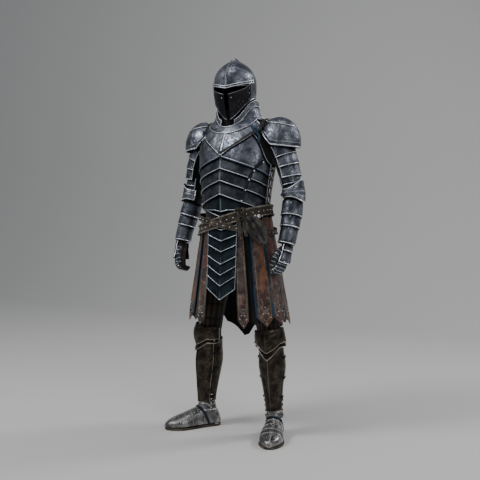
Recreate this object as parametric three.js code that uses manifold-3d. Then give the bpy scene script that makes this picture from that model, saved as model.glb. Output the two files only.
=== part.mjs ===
// Suit of plate armour, hollow, in the pose of a standing wearer.
// Millimetres, +Z up, the wearer faces -Y and the wearer's left is +X.
// Every piece is a thin wall laid on a form: a surface over a general figure, read from a short table.
// The tables give heights above the floor. The group at the end is lowered by WORN_AT,
// which puts the origin between the shoulders, where the suit hangs on its wearer.
import * as THREE from "three";
import { mergeVertices } from "three/addons/utils/BufferGeometryUtils.js";
import Module from "manifold-3d";

const wasm = await Module();
wasm.setup();

const WORN_AT = 1480; // height of the shoulder seat above the floor
const STEEL = 2; // wall of a plate
const CLOTH = 2; // wall of the padded cloth
const LEATHER = 3; // wall of a belt or a strip
const SOLE = 11; // thickness of the boot soles
const GAP = 0.4; // air between cut pieces that meet
const LAME_RISE = 5; // how far a lame's lower edge stands out past its upper edge

const { degToRad: rad, radToDeg: deg, lerp, clamp } = THREE.MathUtils;
const vec = (x = 0, y = 0, z = 0) => new THREE.Vector3(x, y, z);
const UP = vec(0, 0, 1);

// ---------------------------------------------------------------- finishes
const finish = (color, roughness, metalness) =>
  new THREE.MeshStandardMaterial({ color, roughness, metalness });
const PLATE_STEEL = finish(0x6b6d76, 0.45, 0.9);
const BLUED_STEEL = finish(0x39434f, 0.42, 0.9);
const LEG_STEEL = finish(0x5a554c, 0.5, 0.9);
const DARK_CLOTH = finish(0x23262b, 0.95, 0);
const BROWN_CLOTH = finish(0x3b322b, 0.95, 0);
const BELT_LEATHER = finish(0x5a4d42, 0.75, 0);
const RUSSET_LEATHER = finish(0x7a4b40, 0.78, 0);
const GLOVE_LEATHER = finish(0x3a3633, 0.8, 0);

// ---------------------------------------------------------------- tables
// Upright forms. half: half width. front, back: depth ahead of and behind mid. x: sideways shift of the middle.
// square: 2 is an oval, more is boxier. keel: how far a ridge down the front stands out.
// keel: how far the ridge down the front stands out.
const TORSO = [
  { z: 960, x: 10, mid: -38, half: 178, front: 138, back: 124, square: 2.2, keel: 0 },
  { z: 1040, x: 10, mid: -42, half: 166, front: 134, back: 112, square: 2.2, keel: 3 },
  { z: 1110, x: 10, mid: -42, half: 162, front: 132, back: 108, square: 2.25, keel: 6 },
  { z: 1200, x: 10, mid: -40, half: 168, front: 138, back: 114, square: 2.3, keel: 6 },
  { z: 1300, x: 10, mid: -36, half: 181, front: 142, back: 126, square: 2.35, keel: 6 },
  { z: 1384, x: 10, mid: -30, half: 187, front: 140, back: 134, square: 2.4, keel: 6 },
  { z: 1440, x: 9, mid: -20, half: 185, front: 130, back: 130, square: 2.4, keel: 4 },
  { z: 1482, x: 7, mid: -12, half: 174, front: 118, back: 119, square: 2.4, keel: 2 },
  { z: 1520, x: 5, mid: -8, half: 156, front: 100, back: 106, square: 2.3, keel: 0 },
  { z: 1548, x: 3, mid: -6, half: 126, front: 85, back: 90, square: 2.1, keel: 0 },
  { z: 1570, x: 2, mid: -7, half: 96, front: 77, back: 78, square: 2, keel: 0 },
  { z: 1590, x: 0, mid: -10, half: 80, front: 74, back: 72, square: 2, keel: 0 },
  { z: 1620, x: 0, mid: -16, half: 75, front: 72, back: 72, square: 2, keel: 0 },
];
const TORSO_TURN = -3; // degrees, towards the wearer's right
const COLLAR = [
  { z: 1560, mid: -8, half: 130, front: 112, back: 112 },
  { z: 1590, mid: -13, half: 116, front: 104, back: 102 },
  { z: 1620, mid: -19, half: 106, front: 100, back: 102 },
  { z: 1680, mid: -28, half: 101, front: 100, back: 106 },
];
const SKIRT = [
  { z: 420, x: 0, mid: -20, half: 286, front: 176, back: 232, square: 2.1 },
  { z: 580, x: 2, mid: -22, half: 262, front: 172, back: 204, square: 2.1 },
  { z: 760, x: 5, mid: -28, half: 230, front: 162, back: 170, square: 2.1 },
  { z: 930, x: 8, mid: -34, half: 198, front: 152, back: 140, square: 2.15 },
  { z: 1040, x: 10, mid: -40, half: 177, front: 146, back: 122, square: 2.2 },
  { z: 1110, x: 10, mid: -42, half: 168, front: 142, back: 112, square: 2.2 },
];
const SEAT = [
  { z: 840, mid: -18, half: 120, front: 96, back: 112, square: 2.1 },
  { z: 900, mid: -24, half: 160, front: 114, back: 122, square: 2.1 },
  { z: 960, mid: -34, half: 166, front: 120, back: 114, square: 2.1 },
  { z: 1020, mid: -40, half: 158, front: 122, back: 102, square: 2.1 },
];
// The helmet has its own frame: z is above the point of the chin, and its middle is at 0.
const HELM = [
  { z: -20, mid: 0, half: 74, front: 90, back: 88, keel: 4 },
  { z: 40, mid: 0, half: 87, front: 104, back: 104, keel: 5 },
  { z: 96, mid: 0, half: 97, front: 116, back: 116, keel: 6 },
  { z: 147, mid: 0, half: 102, front: 123, back: 124, keel: 6 },
  { z: 199, mid: 0, half: 100, front: 120, back: 123, keel: 7 },
  { z: 229, mid: 0, half: 90, front: 106, back: 112, keel: 7 },
  { z: 256, mid: 0, half: 70, front: 82, back: 90, keel: 6 },
  { z: 275, mid: 0, half: 47, front: 54, back: 61, keel: 5 },
  { z: 285, mid: 0, half: 29, front: 33, back: 37, keel: 3 },
  { z: 292, mid: 0, half: 20, front: 22, back: 24, keel: 1 },
  { z: 299, mid: 0, half: 14, front: 15, back: 16, keel: 0 },
  { z: 306, mid: 0, half: 2, front: 2, back: 2, keel: 0 },
];
// Where the point of the chin is, and how far the helmet turns to the wearer's left and nods, in degrees.
const HELM_AT = { x: 2, y: -42, z: 1561, turn: 8, nod: 3 };

// Limbs. along: way down from the first row. x: outward from the middle.
// wide, deep: half sizes, sideways and ahead.
const ARM_LEFT = [
  { along: 0, x: 168, y: 0, z: 1462, wide: 58, deep: 58 },
  { along: 70, x: 218, y: 2, z: 1424, wide: 56, deep: 58 },
  { along: 150, x: 252, y: 5, z: 1345, wide: 50, deep: 53 },
  { along: 230, x: 273, y: 6, z: 1268, wide: 46, deep: 49 },
  { along: 310, x: 290, y: 4, z: 1192, wide: 43, deep: 46 },
  { along: 390, x: 298, y: -16, z: 1118, wide: 41, deep: 44 },
  { along: 470, x: 297, y: -38, z: 1042, wide: 35, deep: 38 },
  { along: 550, x: 290, y: -58, z: 966, wide: 28, deep: 31 },
  { along: 600, x: 284, y: -68, z: 918, wide: 22, deep: 34 },
  { along: 645, x: 276, y: -76, z: 874, wide: 20, deep: 42 },
];
const ARM_RIGHT = [
  { along: 0, x: 168, y: 10, z: 1462, wide: 58, deep: 58 },
  { along: 70, x: 214, y: 16, z: 1424, wide: 56, deep: 58 },
  { along: 150, x: 254, y: 20, z: 1345, wide: 50, deep: 53 },
  { along: 230, x: 267, y: 19, z: 1268, wide: 46, deep: 49 },
  { along: 310, x: 278, y: 14, z: 1192, wide: 43, deep: 46 },
  { along: 390, x: 296, y: 2, z: 1118, wide: 41, deep: 44 },
  { along: 470, x: 313, y: -14, z: 1042, wide: 35, deep: 38 },
  { along: 550, x: 323, y: -32, z: 966, wide: 28, deep: 31 },
  { along: 600, x: 324, y: -42, z: 918, wide: 22, deep: 34 },
  { along: 645, x: 322, y: -50, z: 874, wide: 20, deep: 42 },
];
const LEG_LEFT = [
  { along: 0, x: 94, y: -18, z: 940, wide: 78, deep: 90 },
  { along: 190, x: 140, y: -22, z: 750, wide: 76, deep: 82 },
  { along: 340, x: 166, y: -24, z: 600, wide: 64, deep: 68 },
  { along: 440, x: 182, y: -20, z: 500, wide: 57, deep: 61 },
  { along: 510, x: 185, y: -12, z: 430, wide: 57, deep: 60 },
  { along: 590, x: 186, y: -2, z: 350, wide: 61, deep: 66 },
  { along: 700, x: 186, y: 6, z: 240, wide: 45, deep: 52 },
  { along: 800, x: 187, y: 14, z: 140, wide: 36, deep: 42 },
  { along: 850, x: 190, y: 14, z: 90, wide: 37, deep: 45 },
];
const LEG_RIGHT = [
  { along: 0, x: 94, y: -18, z: 940, wide: 78, deep: 90 },
  { along: 190, x: 132, y: -24, z: 750, wide: 76, deep: 82 },
  { along: 340, x: 152, y: -28, z: 600, wide: 64, deep: 68 },
  { along: 440, x: 164, y: -24, z: 500, wide: 57, deep: 61 },
  { along: 510, x: 168, y: -16, z: 430, wide: 57, deep: 60 },
  { along: 590, x: 176, y: -10, z: 350, wide: 61, deep: 66 },
  { along: 700, x: 186, y: -8, z: 240, wide: 46, deep: 53 },
  { along: 800, x: 193, y: -6, z: 140, wide: 36, deep: 42 },
  { along: 850, x: 193, y: -6, z: 90, wide: 37, deep: 45 },
];
// Foot. along: from the back of the heel to the toe. base: height of the widest line. top: the instep.
const FOOT = [
  { along: 0, half: 22, base: 18, top: 40 },
  { along: 14, half: 34, base: 20, top: 74 },
  { along: 50, half: 39, base: 20, top: 98 },
  { along: 95, half: 43, base: 20, top: 100 },
  { along: 135, half: 50, base: 19, top: 84 },
  { along: 175, half: 57, base: 18, top: 68 },
  { along: 215, half: 57, base: 17, top: 54 },
  { along: 252, half: 45, base: 15, top: 41 },
  { along: 280, half: 25, base: 14, top: 28 },
  { along: 290, half: 12, base: 13, top: 20 },
];
const HEEL_BACK = 66; // from the middle of the ankle to the back of the heel

// Hand, from the wrist: down the hand, forward to the thumb's side, and out to its back.
const PALM = [
  { down: -34, forward: 0, out: 0, wide: 27, deep: 21 },
  { down: 10, forward: 0, out: 0, wide: 30, deep: 19 },
  { down: 48, forward: 0, out: 0, wide: 41, deep: 17 },
  { down: 88, forward: 0, out: -2, wide: 43, deep: 14 },
];
const FINGER = [
  { down: 76, out: -1, wide: 10, deep: 11 },
  { down: 116, out: -8, wide: 10, deep: 11 },
  { down: 138, out: -27, wide: 9.5, deep: 10 },
  { down: 129, out: -40, wide: 8, deep: 8 },
];
const THUMB = [
  { down: 26, forward: 26, out: -8, wide: 13, deep: 13 },
  { down: 62, forward: 50, out: -17, wide: 12, deep: 12 },
  { down: 112, forward: 44, out: -32, wide: 8.5, deep: 8.5 },
];
const FINGERS_AT = [31, 10.5, -10.5, -31];

const SIDES = {
  left: { side: 1, arm: ARM_LEFT, leg: LEG_LEFT, legTurn: 9, footTurn: 20, ankle: vec(191, 14, 0) },
  right: { side: -1, arm: ARM_RIGHT, leg: LEG_RIGHT, legTurn: 36, footTurn: 40, ankle: vec(-193, -6, 0) },
};

// ---------------------------------------------------------------- forms
// A form gives a point from an angle or a width, and a place along it. Its turn says which side of it is out.
const makeForm = (turn, point) => Object.assign(point, { turn });

// A table read between its rows with a cubic, and carried on straight past its ends.
function read(rows, key, at) {
  const rising = rows[1][key] > rows[0][key];
  let i = rows.length - 2;
  while (i > 0 && (rising ? rows[i][key] > at : rows[i][key] < at)) i--;
  const [from, to] = [rows[i], rows[i + 1]];
  const [before, after] = [rows[i - 1] ?? from, rows[i + 2] ?? to];
  const span = to[key] - from[key];
  const s = (at - from[key]) / span;
  const t = clamp(s, 0, 1);
  const row = {};
  for (const column in from) {
    const enter = (to[column] - before[column]) / (to[key] - before[key]);
    const leave = (after[column] - from[column]) / (after[key] - from[key]);
    row[column] =
      (2 * t ** 3 - 3 * t ** 2 + 1) * from[column] +
      (t ** 3 - 2 * t ** 2 + t) * span * enter +
      (3 * t ** 2 - 2 * t ** 3) * to[column] +
      (t ** 3 - t ** 2) * span * leave +
      (s - t) * span * (s < 0 ? enter : leave);
  }
  return row;
}

// Degrees from the front, 0 to 180, whichever way round.
const fromFront = (degrees) => Math.abs(THREE.MathUtils.euclideanModulo(degrees + 180, 360) - 180);

// An upright form: an oval at each height, with a keel down the front. Angle 0 is the front, 90 the wearer's left.
const barrel = (rows, turn = 0) =>
  makeForm(1, (degrees, z) => {
    const r = read(rows, "z", z);
    const [across, ahead] = [Math.sin(rad(degrees)), Math.cos(rad(degrees))];
    const n = r.square ?? 2;
    const round = (Math.abs(across) ** n + Math.abs(ahead) ** n) ** (-1 / n);
    const depth = ahead > 0 ? r.front : r.back;
    const keel = (r.keel ?? 0) * Math.exp(-fromFront(degrees) / 12);
    return vec(r.half * across * round, r.mid - depth * ahead * round - keel, z)
      .applyAxisAngle(UP, rad(turn))
      .add(vec(r.x ?? 0));
  });

// A band down a barrel, measured in millimetres from its own middle line at the given angle.
const bandOn = (form, at) =>
  makeForm(1, (across, z) => {
    const radius = form(at + 1, z).distanceTo(form(at - 1, z)) / (2 * rad(1));
    return form(at + deg(across / radius), z);
  });

// The middle of a limb at one place, and its three directions.
function limbFrame(rows, side, turn, s) {
  const centre = (at) => {
    const r = read(rows, "along", at);
    return vec(side * r.x, r.y, r.z);
  };
  const down = centre(s + 1).sub(centre(s - 1)).normalize();
  const ahead = vec(side * Math.sin(rad(turn)), -Math.cos(rad(turn)), 0);
  ahead.addScaledVector(down, -ahead.dot(down)).normalize();
  const outward = vec().crossVectors(ahead, down).multiplyScalar(side);
  return { centre: centre(s), down, ahead, outward };
}

// A limb: an oval carried down a centre line. Angle 0 is where the limb faces, 90 is outward from the body.
const limb = (rows, side, turn = 0) =>
  makeForm(-side, (degrees, s) => {
    const { wide, deep } = read(rows, "along", s);
    const { centre, ahead, outward } = limbFrame(rows, side, turn, s);
    return centre
      .addScaledVector(outward, wide * Math.sin(rad(degrees)))
      .addScaledVector(ahead, deep * Math.cos(rad(degrees)));
  });

// A foot: a round-topped section with a flat bottom, carried from heel to toe. Angle 0 is the instep.
function footForm({ side, footTurn, ankle }) {
  const ahead = vec(side * Math.sin(rad(footTurn)), -Math.cos(rad(footTurn)), 0);
  const outward = vec(side * Math.cos(rad(footTurn)), Math.sin(rad(footTurn)), 0);
  return makeForm(-side, (degrees, s) => {
    const r = read(FOOT, "along", s);
    const [across, up] = [Math.sin(rad(degrees)), Math.cos(rad(degrees))];
    const height = up > 0 ? lerp(r.base, r.top, up) : lerp(r.base, 0, Math.abs(up) ** 0.4);
    return ankle
      .clone()
      .addScaledVector(ahead, s - HEEL_BACK)
      .addScaledVector(outward, r.half * Math.sign(across) * Math.abs(across) ** 0.8)
      .setZ(SOLE - 1 + height);
  });
}

// A shoulder cap: an oval dome. Angle 0 is the front, 90 outward, and along is degrees down from its top.
const dome = ({ side, x, y, z, wide, deep, high, lean }) =>
  makeForm(-side, (degrees, down) => {
    const [a, d] = [rad(degrees), rad(down)];
    const p = vec(wide * Math.sin(a) * Math.sin(d), -deep * Math.cos(a) * Math.sin(d), high * Math.cos(d));
    p.applyAxisAngle(vec(0, 1, 0), rad(lean));
    return vec(side * (x + p.x), y + p.y, z + p.z);
  });

// A point on a form, moved out along the form's own normal.
function lifted(form, across, along, lift) {
  const round = form(across + 0.5, along).sub(form(across - 0.5, along));
  const onward = form(across, along + 0.5).sub(form(across, along - 0.5));
  const out = round.cross(onward).normalize().multiplyScalar(form.turn);
  return form(across, along).addScaledVector(out, lift);
}

// ---------------------------------------------------------------- solids
// Points and triangles as a geometry that faces outwards. Triangles that have shrunk to a line are dropped.
function body(points, triangles) {
  const kept = triangles.filter(([a, b, c]) => a !== b && b !== c && c !== a);
  const cone = ([a, b, c]) => points[a].dot(vec().crossVectors(points[b], points[c]));
  const volume = kept.reduce((sum, triangle) => sum + cone(triangle), 0);
  const index = kept.flatMap(([a, b, c]) => (volume < 0 ? [a, c, b] : [a, b, c]));
  return new THREE.BufferGeometry().setFromPoints(points).setIndex(index);
}

// Two triangles for each cell of a grid of vertex numbers.
function cells(at, columns, rows) {
  const triangles = [];
  for (let j = 0; j < rows; j++)
    for (let i = 0; i < columns; i++) {
      triangles.push([at(i, j), at(i + 1, j), at(i + 1, j + 1)]);
      triangles.push([at(i, j), at(i + 1, j + 1), at(i, j + 1)]);
    }
  return triangles;
}

const value = (edge, ...places) => (typeof edge === "function" ? edge(...places) : edge);
const listed = (count, make) => Array.from({ length: count }, (_, i) => make(i));
const evenly = (rows) => (Array.isArray(rows) ? rows : listed(rows + 1, (j) => j / rows));

// A wall on a form. across: its two sides. along: its two ends, numbers or functions of the place across.
// rows: how many, or the share of the way along where each one lies. closed: it goes right round.
// lift: how far its outside stands off the form, a number or a function of (place across, share along).
// pole: its first row comes to a point.
function wall({ form, across, along, columns, rows, lift = 0, thick = STEEL, closed = false, pole = false }) {
  const shares = evenly(rows);
  const last = shares.length - 1;
  const wide = closed ? columns : columns + 1;
  const points = [];
  for (const inset of [0, thick])
    for (const t of shares)
      for (let i = 0; i < wide; i++) {
        const place = lerp(across[0], across[1], i / columns);
        const station = lerp(value(along[0], place), value(along[1], place), t);
        points.push(lifted(form, place, station, value(lift, place, t) - inset));
      }
  const layer = wide * shares.length;
  const outside = (i, j) => (pole && j === 0 ? 0 : j * wide + (i % wide));
  const inside = (i, j) => layer + outside(i, j);
  const end = (j) => cells((i, k) => (k ? inside(i, j) : outside(i, j)), columns, 1);
  const edge = (i) => cells((j, k) => (k ? inside(i, j) : outside(i, j)), last, 1);
  const flipped = (triangles) => triangles.map(([a, b, c]) => [a, c, b]);
  return body(points, [
    ...cells(outside, columns, last),
    ...flipped(cells(inside, columns, last)),
    ...(pole ? [] : flipped(end(0))),
    ...end(last),
    ...(closed ? [] : [...edge(0), ...flipped(edge(columns))]),
  ]);
}

// Rings of points joined into a solid with flat ends.
function stacked(rings) {
  const columns = rings[0].length;
  const points = rings.flat();
  const at = (i, j) => j * columns + (i % columns);
  const last = rings.length - 1;
  const middles = [0, last].map((j) => {
    const middle = vec();
    for (const p of rings[j]) middle.addScaledVector(p, 1 / columns);
    return points.push(middle) - 1;
  });
  const fans = rings[0].flatMap((_, i) => [
    [middles[0], at(i + 1, 0), at(i, 0)],
    [middles[1], at(i, last), at(i + 1, last)],
  ]);
  return body(points, [...cells(at, columns, last), ...fans]);
}

// The inside of a form between two places along it.
function filled({ form, along, columns, rows, lift = 0 }) {
  const point = (i, t) => lifted(form, (360 * i) / columns, lerp(along[0], along[1], t), lift);
  return stacked(evenly(rows).map((t) => listed(columns, (i) => point(i, t))));
}

// An oval carried through sections, each with a centre, a half width along the flat direction, and a half depth.
function sausage(sections, flat, sides, inset = 0) {
  const rings = sections.map(({ at, wide, deep }, j) => {
    const tangent = (sections[j + 1] ?? sections[j]).at.clone().sub((sections[j - 1] ?? sections[j]).at);
    const depth = vec().crossVectors(tangent, flat).normalize();
    return listed(sides, (i) => {
      const turn = (2 * Math.PI * i) / sides;
      return at
        .clone()
        .addScaledVector(flat, (wide - inset) * Math.cos(turn))
        .addScaledVector(depth, (deep - inset) * Math.sin(turn));
    });
  });
  return stacked(rings);
}

// A geometry as a manifold-3d solid, and back again.
function toSolid(geometry) {
  const g = geometry.clone();
  g.deleteAttribute("normal");
  g.deleteAttribute("uv");
  const merged = mergeVertices(g, 1e-4);
  return new wasm.Manifold(
    new wasm.Mesh({
      numProp: 3,
      vertProperties: new Float32Array(merged.attributes.position.array),
      triVerts: new Uint32Array(merged.index.array),
    }),
  );
}
function toGeometry(solid) {
  const mesh = solid.getMesh();
  const g = new THREE.BufferGeometry();
  g.setAttribute("position", new THREE.BufferAttribute(new Float32Array(mesh.vertProperties), 3));
  return g.setIndex(new THREE.BufferAttribute(new Uint32Array(mesh.triVerts), 1));
}
const joined = (geometries) => geometries.map(toSolid).reduce((a, b) => a.add(b));
const box = (size, at) => new THREE.BoxGeometry(...size).translate(...at);

const suit = new THREE.Group();
function add(name, material, geometry, into = suit) {
  const mesh = new THREE.Mesh(geometry, material);
  mesh.name = name;
  into.add(mesh);
}

const torso = barrel(TORSO, TORSO_TURN);
const collar = barrel(COLLAR);
const skirt = barrel(SKIRT);
const helm = barrel(HELM);

// A hill in the lift or the edge of a plate: high at the middle, level well away from it.
const hill = (place, middle, spread) => Math.exp(-(((place - middle) / spread) ** 2));

// Lames that lap downwards: the shares along where the rows lie, and a lift that steps in below each edge.
const LAP = 0.02;
const lameRows = (edges) => [0, ...edges.slice(0, -1).flatMap((e) => [e, e + LAP]), 1];
const lameLift = (edges, base, rise) => (_, t) => {
  const i = edges.findIndex((e) => t <= e + LAP / 2);
  const top = i > 0 ? edges[i - 1] : 0;
  return base + (rise * (t - top)) / (edges[i] - top);
};

// ---------------------------------------------------------------- helmet
const head = new THREE.Group();
head.position.set(HELM_AT.x, HELM_AT.y, HELM_AT.z);
head.rotation.set(rad(HELM_AT.nod), 0, rad(HELM_AT.turn), "ZXY");
suit.add(head);

const CHEEK_END = 70; // angle where a cheek plate ends and the back plate begins
const SLIT_END = 64; // angle where the eye slit closes
const SLIT_HIGH = 27;
const SLOT_HALF = 6; // half the slot down the face, in degrees
const browLine = (degrees) => 146 + 32 * Math.min(fromFront(degrees) / 80, 1);
const slitLine = (degrees) =>
  browLine(degrees) - SLIT_HIGH * Math.sqrt(Math.max(0.004, 1 - (fromFront(degrees) / SLIT_END) ** 2));
const jawLine = (degrees) => 108 * (1 - hill(fromFront(degrees), 0, 52));
const nape = (degrees) => jawLine(degrees) - 20 * THREE.MathUtils.smoothstep(fromFront(degrees), 96, 140);

function helmet() {
  add(
    "helm_skull",
    PLATE_STEEL,
    wall({
      form: helm,
      across: [0, 360],
      along: [306, (a) => browLine(a) + 10],
      columns: 24,
      rows: [0, 0.04, 0.1, 0.16, 0.24, 0.36, 0.52, 0.74, 1],
      closed: true,
      pole: true,
    }),
    head,
  );
  add(
    "helm_brow",
    PLATE_STEEL,
    wall({
      form: helm,
      across: [-80, 80],
      along: [(a) => browLine(a) + 14, browLine],
      columns: 18,
      rows: 1,
      lift: 4.8,
    }),
    head,
  );
  for (const [name, { side }] of Object.entries(SIDES))
    add(
      `helm_cheek_${name}`,
      BLUED_STEEL,
      wall({
        form: helm,
        across: [side * SLOT_HALF, side * CHEEK_END],
        along: [slitLine, jawLine],
        columns: 8,
        rows: 4,
        lift: 2.6,
      }),
      head,
    );
  add(
    "helm_back",
    PLATE_STEEL,
    wall({
      form: helm,
      across: [CHEEK_END - 6, 366 - CHEEK_END],
      along: [(a) => browLine(a) + 9, nape],
      columns: 20,
      rows: 4,
      lift: -0.3,
    }),
    head,
  );
}

// ---------------------------------------------------------------- neck
const COLLAR_OPEN = 34; // the collar stands open this far either side of the throat
function gorget() {
  const rim = (a) => HELM_AT.z + nape(a) - 12;
  add(
    "gorget_collar",
    PLATE_STEEL,
    wall({
      form: collar,
      across: [COLLAR_OPEN, 360 - COLLAR_OPEN],
      along: [rim, 1584],
      columns: 20,
      rows: 2,
    }),
  );
  add(
    "gorget_plate",
    PLATE_STEEL,
    wall({
      form: torso,
      across: [0, 360],
      along: [(a) => 1572 - 56 * hill(fromFront(a), 0, 36), (a) => 1481 + 80 * Math.sin(rad(a)) ** 2],
      columns: 28,
      rows: 3,
      lift: 20.4,
      closed: true,
    }),
  );
}

// ---------------------------------------------------------------- breast, lames, belly and back
const FLANK = 86; // angle where the front plates end
const CROSS_AT = 1382; // height where the crossing seams of the breast meet
const crossArm = (degrees) => CROSS_AT + 2.2 * Math.abs(degrees);
const armhole = (degrees) => 1488 - 150 * (1 - hill(Math.max(0, Math.abs(degrees) - 40), 0, 24));

function breast() {
  add(
    "breast_top",
    PLATE_STEEL,
    wall({
      form: torso,
      across: [-62, 62],
      along: [(a) => 1494 + 80 * Math.sin(rad(a)) ** 2, (a) => crossArm(a) - 3],
      columns: 18,
      rows: 3,
      lift: 16.4,
    }),
  );
  for (const [name, { side }] of Object.entries(SIDES))
    add(
      `breast_${name}`,
      PLATE_STEEL,
      wall({
        form: torso,
        across: [side * 0.5, side * FLANK],
        along: [(a) => Math.min(crossArm(a) + 12, armhole(a)), (a) => CROSS_AT - 6 - 1.1 * Math.abs(a)],
        columns: 12,
        rows: 3,
        lift: 12.4,
      }),
    );
  const lames = [
    { top: 1380, bottom: 1319 },
    { top: 1333, bottom: 1261 },
    { top: 1275, bottom: 1196 },
  ];
  lames.forEach(({ top, bottom }, i) =>
    add(
      `plackart_lame_${i + 1}`,
      PLATE_STEEL,
      wall({
        form: torso,
        across: [-FLANK, FLANK],
        along: [(a) => top - 1.05 * Math.abs(a), (a) => bottom - 1.05 * Math.abs(a)],
        columns: 20,
        rows: 1,
        lift: (_, t) => 8 + LAME_RISE * t,
      }),
    ),
  );
  add(
    "plackart_belly",
    BLUED_STEEL,
    wall({
      form: torso,
      across: [-FLANK, FLANK],
      along: [(a) => 1210 - 1.05 * Math.abs(a), (a) => 1111 + 0.6 * Math.min(Math.abs(a), 14)],
      columns: 20,
      rows: 2,
      lift: 7.2,
    }),
  );
  add(
    "fauld",
    BLUED_STEEL,
    wall({
      form: torso,
      across: [-FLANK, FLANK],
      along: [1128, (a) => 1084 + 0.9 * Math.min(Math.abs(a), 40)],
      columns: 20,
      rows: 1,
      lift: 4.6,
    }),
  );
  add(
    "back_plate",
    PLATE_STEEL,
    wall({
      form: torso,
      across: [FLANK + 6, 354 - FLANK],
      along: [(a) => armhole(194 - fromFront(a)) - 10, 1116],
      columns: 16,
      rows: 6,
      lift: 10,
    }),
  );
}

// ---------------------------------------------------------------- cloth under the plates
const ELBOW_ROOM = 3; // the sleeve is cut this much fuller at the elbow
function doublet() {
  const trunk = { form: torso, across: [0, 360], along: [1616, 1022], columns: 20, rows: 9 };
  const shell = toSolid(wall({ ...trunk, thick: CLOTH, closed: true }));
  const core = toSolid(filled({ ...trunk, lift: GAP }));
  let cloth = shell;
  for (const [name, { side, arm }] of Object.entries(SIDES)) {
    const form = limb(arm, side);
    const tube = { form, across: [0, 360], along: [0, 540], columns: 12, rows: [0, 0.17, 0.33, 0.5, 0.58, 0.67, 0.83, 1] };
    const fullness = (a, share) => ELBOW_ROOM * hill(540 * share, 315, 45);
    const sleeve = wall({ ...tube, lift: fullness, thick: CLOTH, closed: true });
    const armhole = filled({ form, along: [-90, 70], columns: 12, rows: 2 });
    add(`sleeve_${name}`, DARK_CLOTH, toGeometry(toSolid(sleeve).subtract(core)));
    cloth = cloth.subtract(toSolid(armhole));
  }
  for (const [name, way] of [["front", -1], ["back", 1]]) {
    const half = box([600, 400, 800], [0, way * (200 + GAP / 2) - 15, 1300]);
    add(`doublet_${name}`, DARK_CLOTH, toGeometry(cloth.intersect(toSolid(half))));
  }
}

// ---------------------------------------------------------------- shoulders and arms
function armPlates() {
  const SHOULDERS = { left: { x: 217, y: 0 }, right: { x: 206, y: 12 } };
  for (const [name, { side, arm }] of Object.entries(SIDES)) {
    const { x, y } = SHOULDERS[name];
    const form = limb(arm, side);
    const shoulder = dome({ side, x, y, z: 1446, wide: 112, deep: 97, high: 124, lean: 6 });
    add(
      `pauldron_${name}`,
      PLATE_STEEL,
      wall({
        form: shoulder,
        across: [-62, 242],
        along: [0, (a) => 97 - (50 * Math.max(0, Math.abs(a - 90) - 88)) / 64],
        columns: 18,
        rows: 5,
        pole: true,
      }),
    );
    const strap = makeForm(side, (degrees, across) => {
      const turn = rad(degrees);
      return vec(side * across, y - 8 + 134 * Math.sin(turn), 1446 + 134 * Math.cos(turn));
    });
    add(
      `shoulder_strap_${name}`,
      BELT_LEATHER,
      wall({
        form: strap,
        across: [-66, 66],
        along: [x - 68, x - 46],
        columns: 14,
        rows: 1,
        thick: LEATHER,
      }),
    );
    const lames = [0.36, 0.66, 1];
    add(
      `rerebrace_${name}`,
      PLATE_STEEL,
      wall({
        form,
        across: [-8, 208],
        along: [62, 222],
        columns: 14,
        rows: lameRows(lames),
        lift: lameLift(lames, 11, LAME_RISE),
      }),
    );
    const wing = (a) => hill(a, 78, 40);
    add(
      `couter_${name}`,
      PLATE_STEEL,
      wall({
        form,
        across: [-34, 214],
        along: [(a) => 276 - 30 * wing(a), (a) => 334 + 24 * wing(a)],
        columns: 16,
        rows: 4,
        lift: (a, t) => 10 + 11 * Math.sin(Math.PI * t) + 16 * wing(a) * (2 * t - 1) ** 2,
      }),
    );
    const bands = [0.36, 0.62, 1];
    add(
      `vambrace_${name}`,
      PLATE_STEEL,
      wall({
        form,
        across: [0, 360],
        along: [344, 556],
        columns: 16,
        rows: lameRows(bands),
        lift: (a, t) => lameLift(bands, 7, 5)(a, t) + 6 * Math.max(0, t - 0.6),
        closed: true,
      }),
    );
  }
}

// ---------------------------------------------------------------- hands
function hands() {
  for (const [name, { side, arm }] of Object.entries(SIDES)) {
    const { centre, down, ahead, outward } = limbFrame(arm, side, 0, 560);
    const placed = (row, forward) => ({
      ...row,
      at: centre
        .clone()
        .addScaledVector(down, row.down)
        .addScaledVector(ahead, forward)
        .addScaledVector(outward, row.out),
    });
    const palm = PALM.map((row) => placed(row, 0));
    const fingers = FINGERS_AT.map((forward) => FINGER.map((row) => placed(row, forward)));
    const thumb = THUMB.map((row) => placed(row, row.forward));
    const across = vec().crossVectors(down, outward).normalize();
    const hand = (inset) => {
      const past = { ...palm[0], at: palm[0].at.clone().addScaledVector(down, -9) };
      return joined([
        sausage(inset ? [past, ...palm] : palm, across, 8, inset),
        ...fingers.map((finger) => sausage(finger, across, 6, inset)),
        sausage(thumb, outward, 6, inset),
      ]);
    };
    add(`glove_${name}`, GLOVE_LEATHER, toGeometry(hand(0).subtract(hand(CLOTH))));
    add(
      `gauntlet_${name}`,
      PLATE_STEEL,
      wall({
        form: limb(arm, side),
        across: [18, 192],
        along: [562, (a) => 640 + 8 * hill(a, 90, 60)],
        columns: 10,
        rows: lameRows([0.4, 1]),
        lift: lameLift([0.4, 1], 7, 3),
      }),
    );
  }
}

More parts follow.
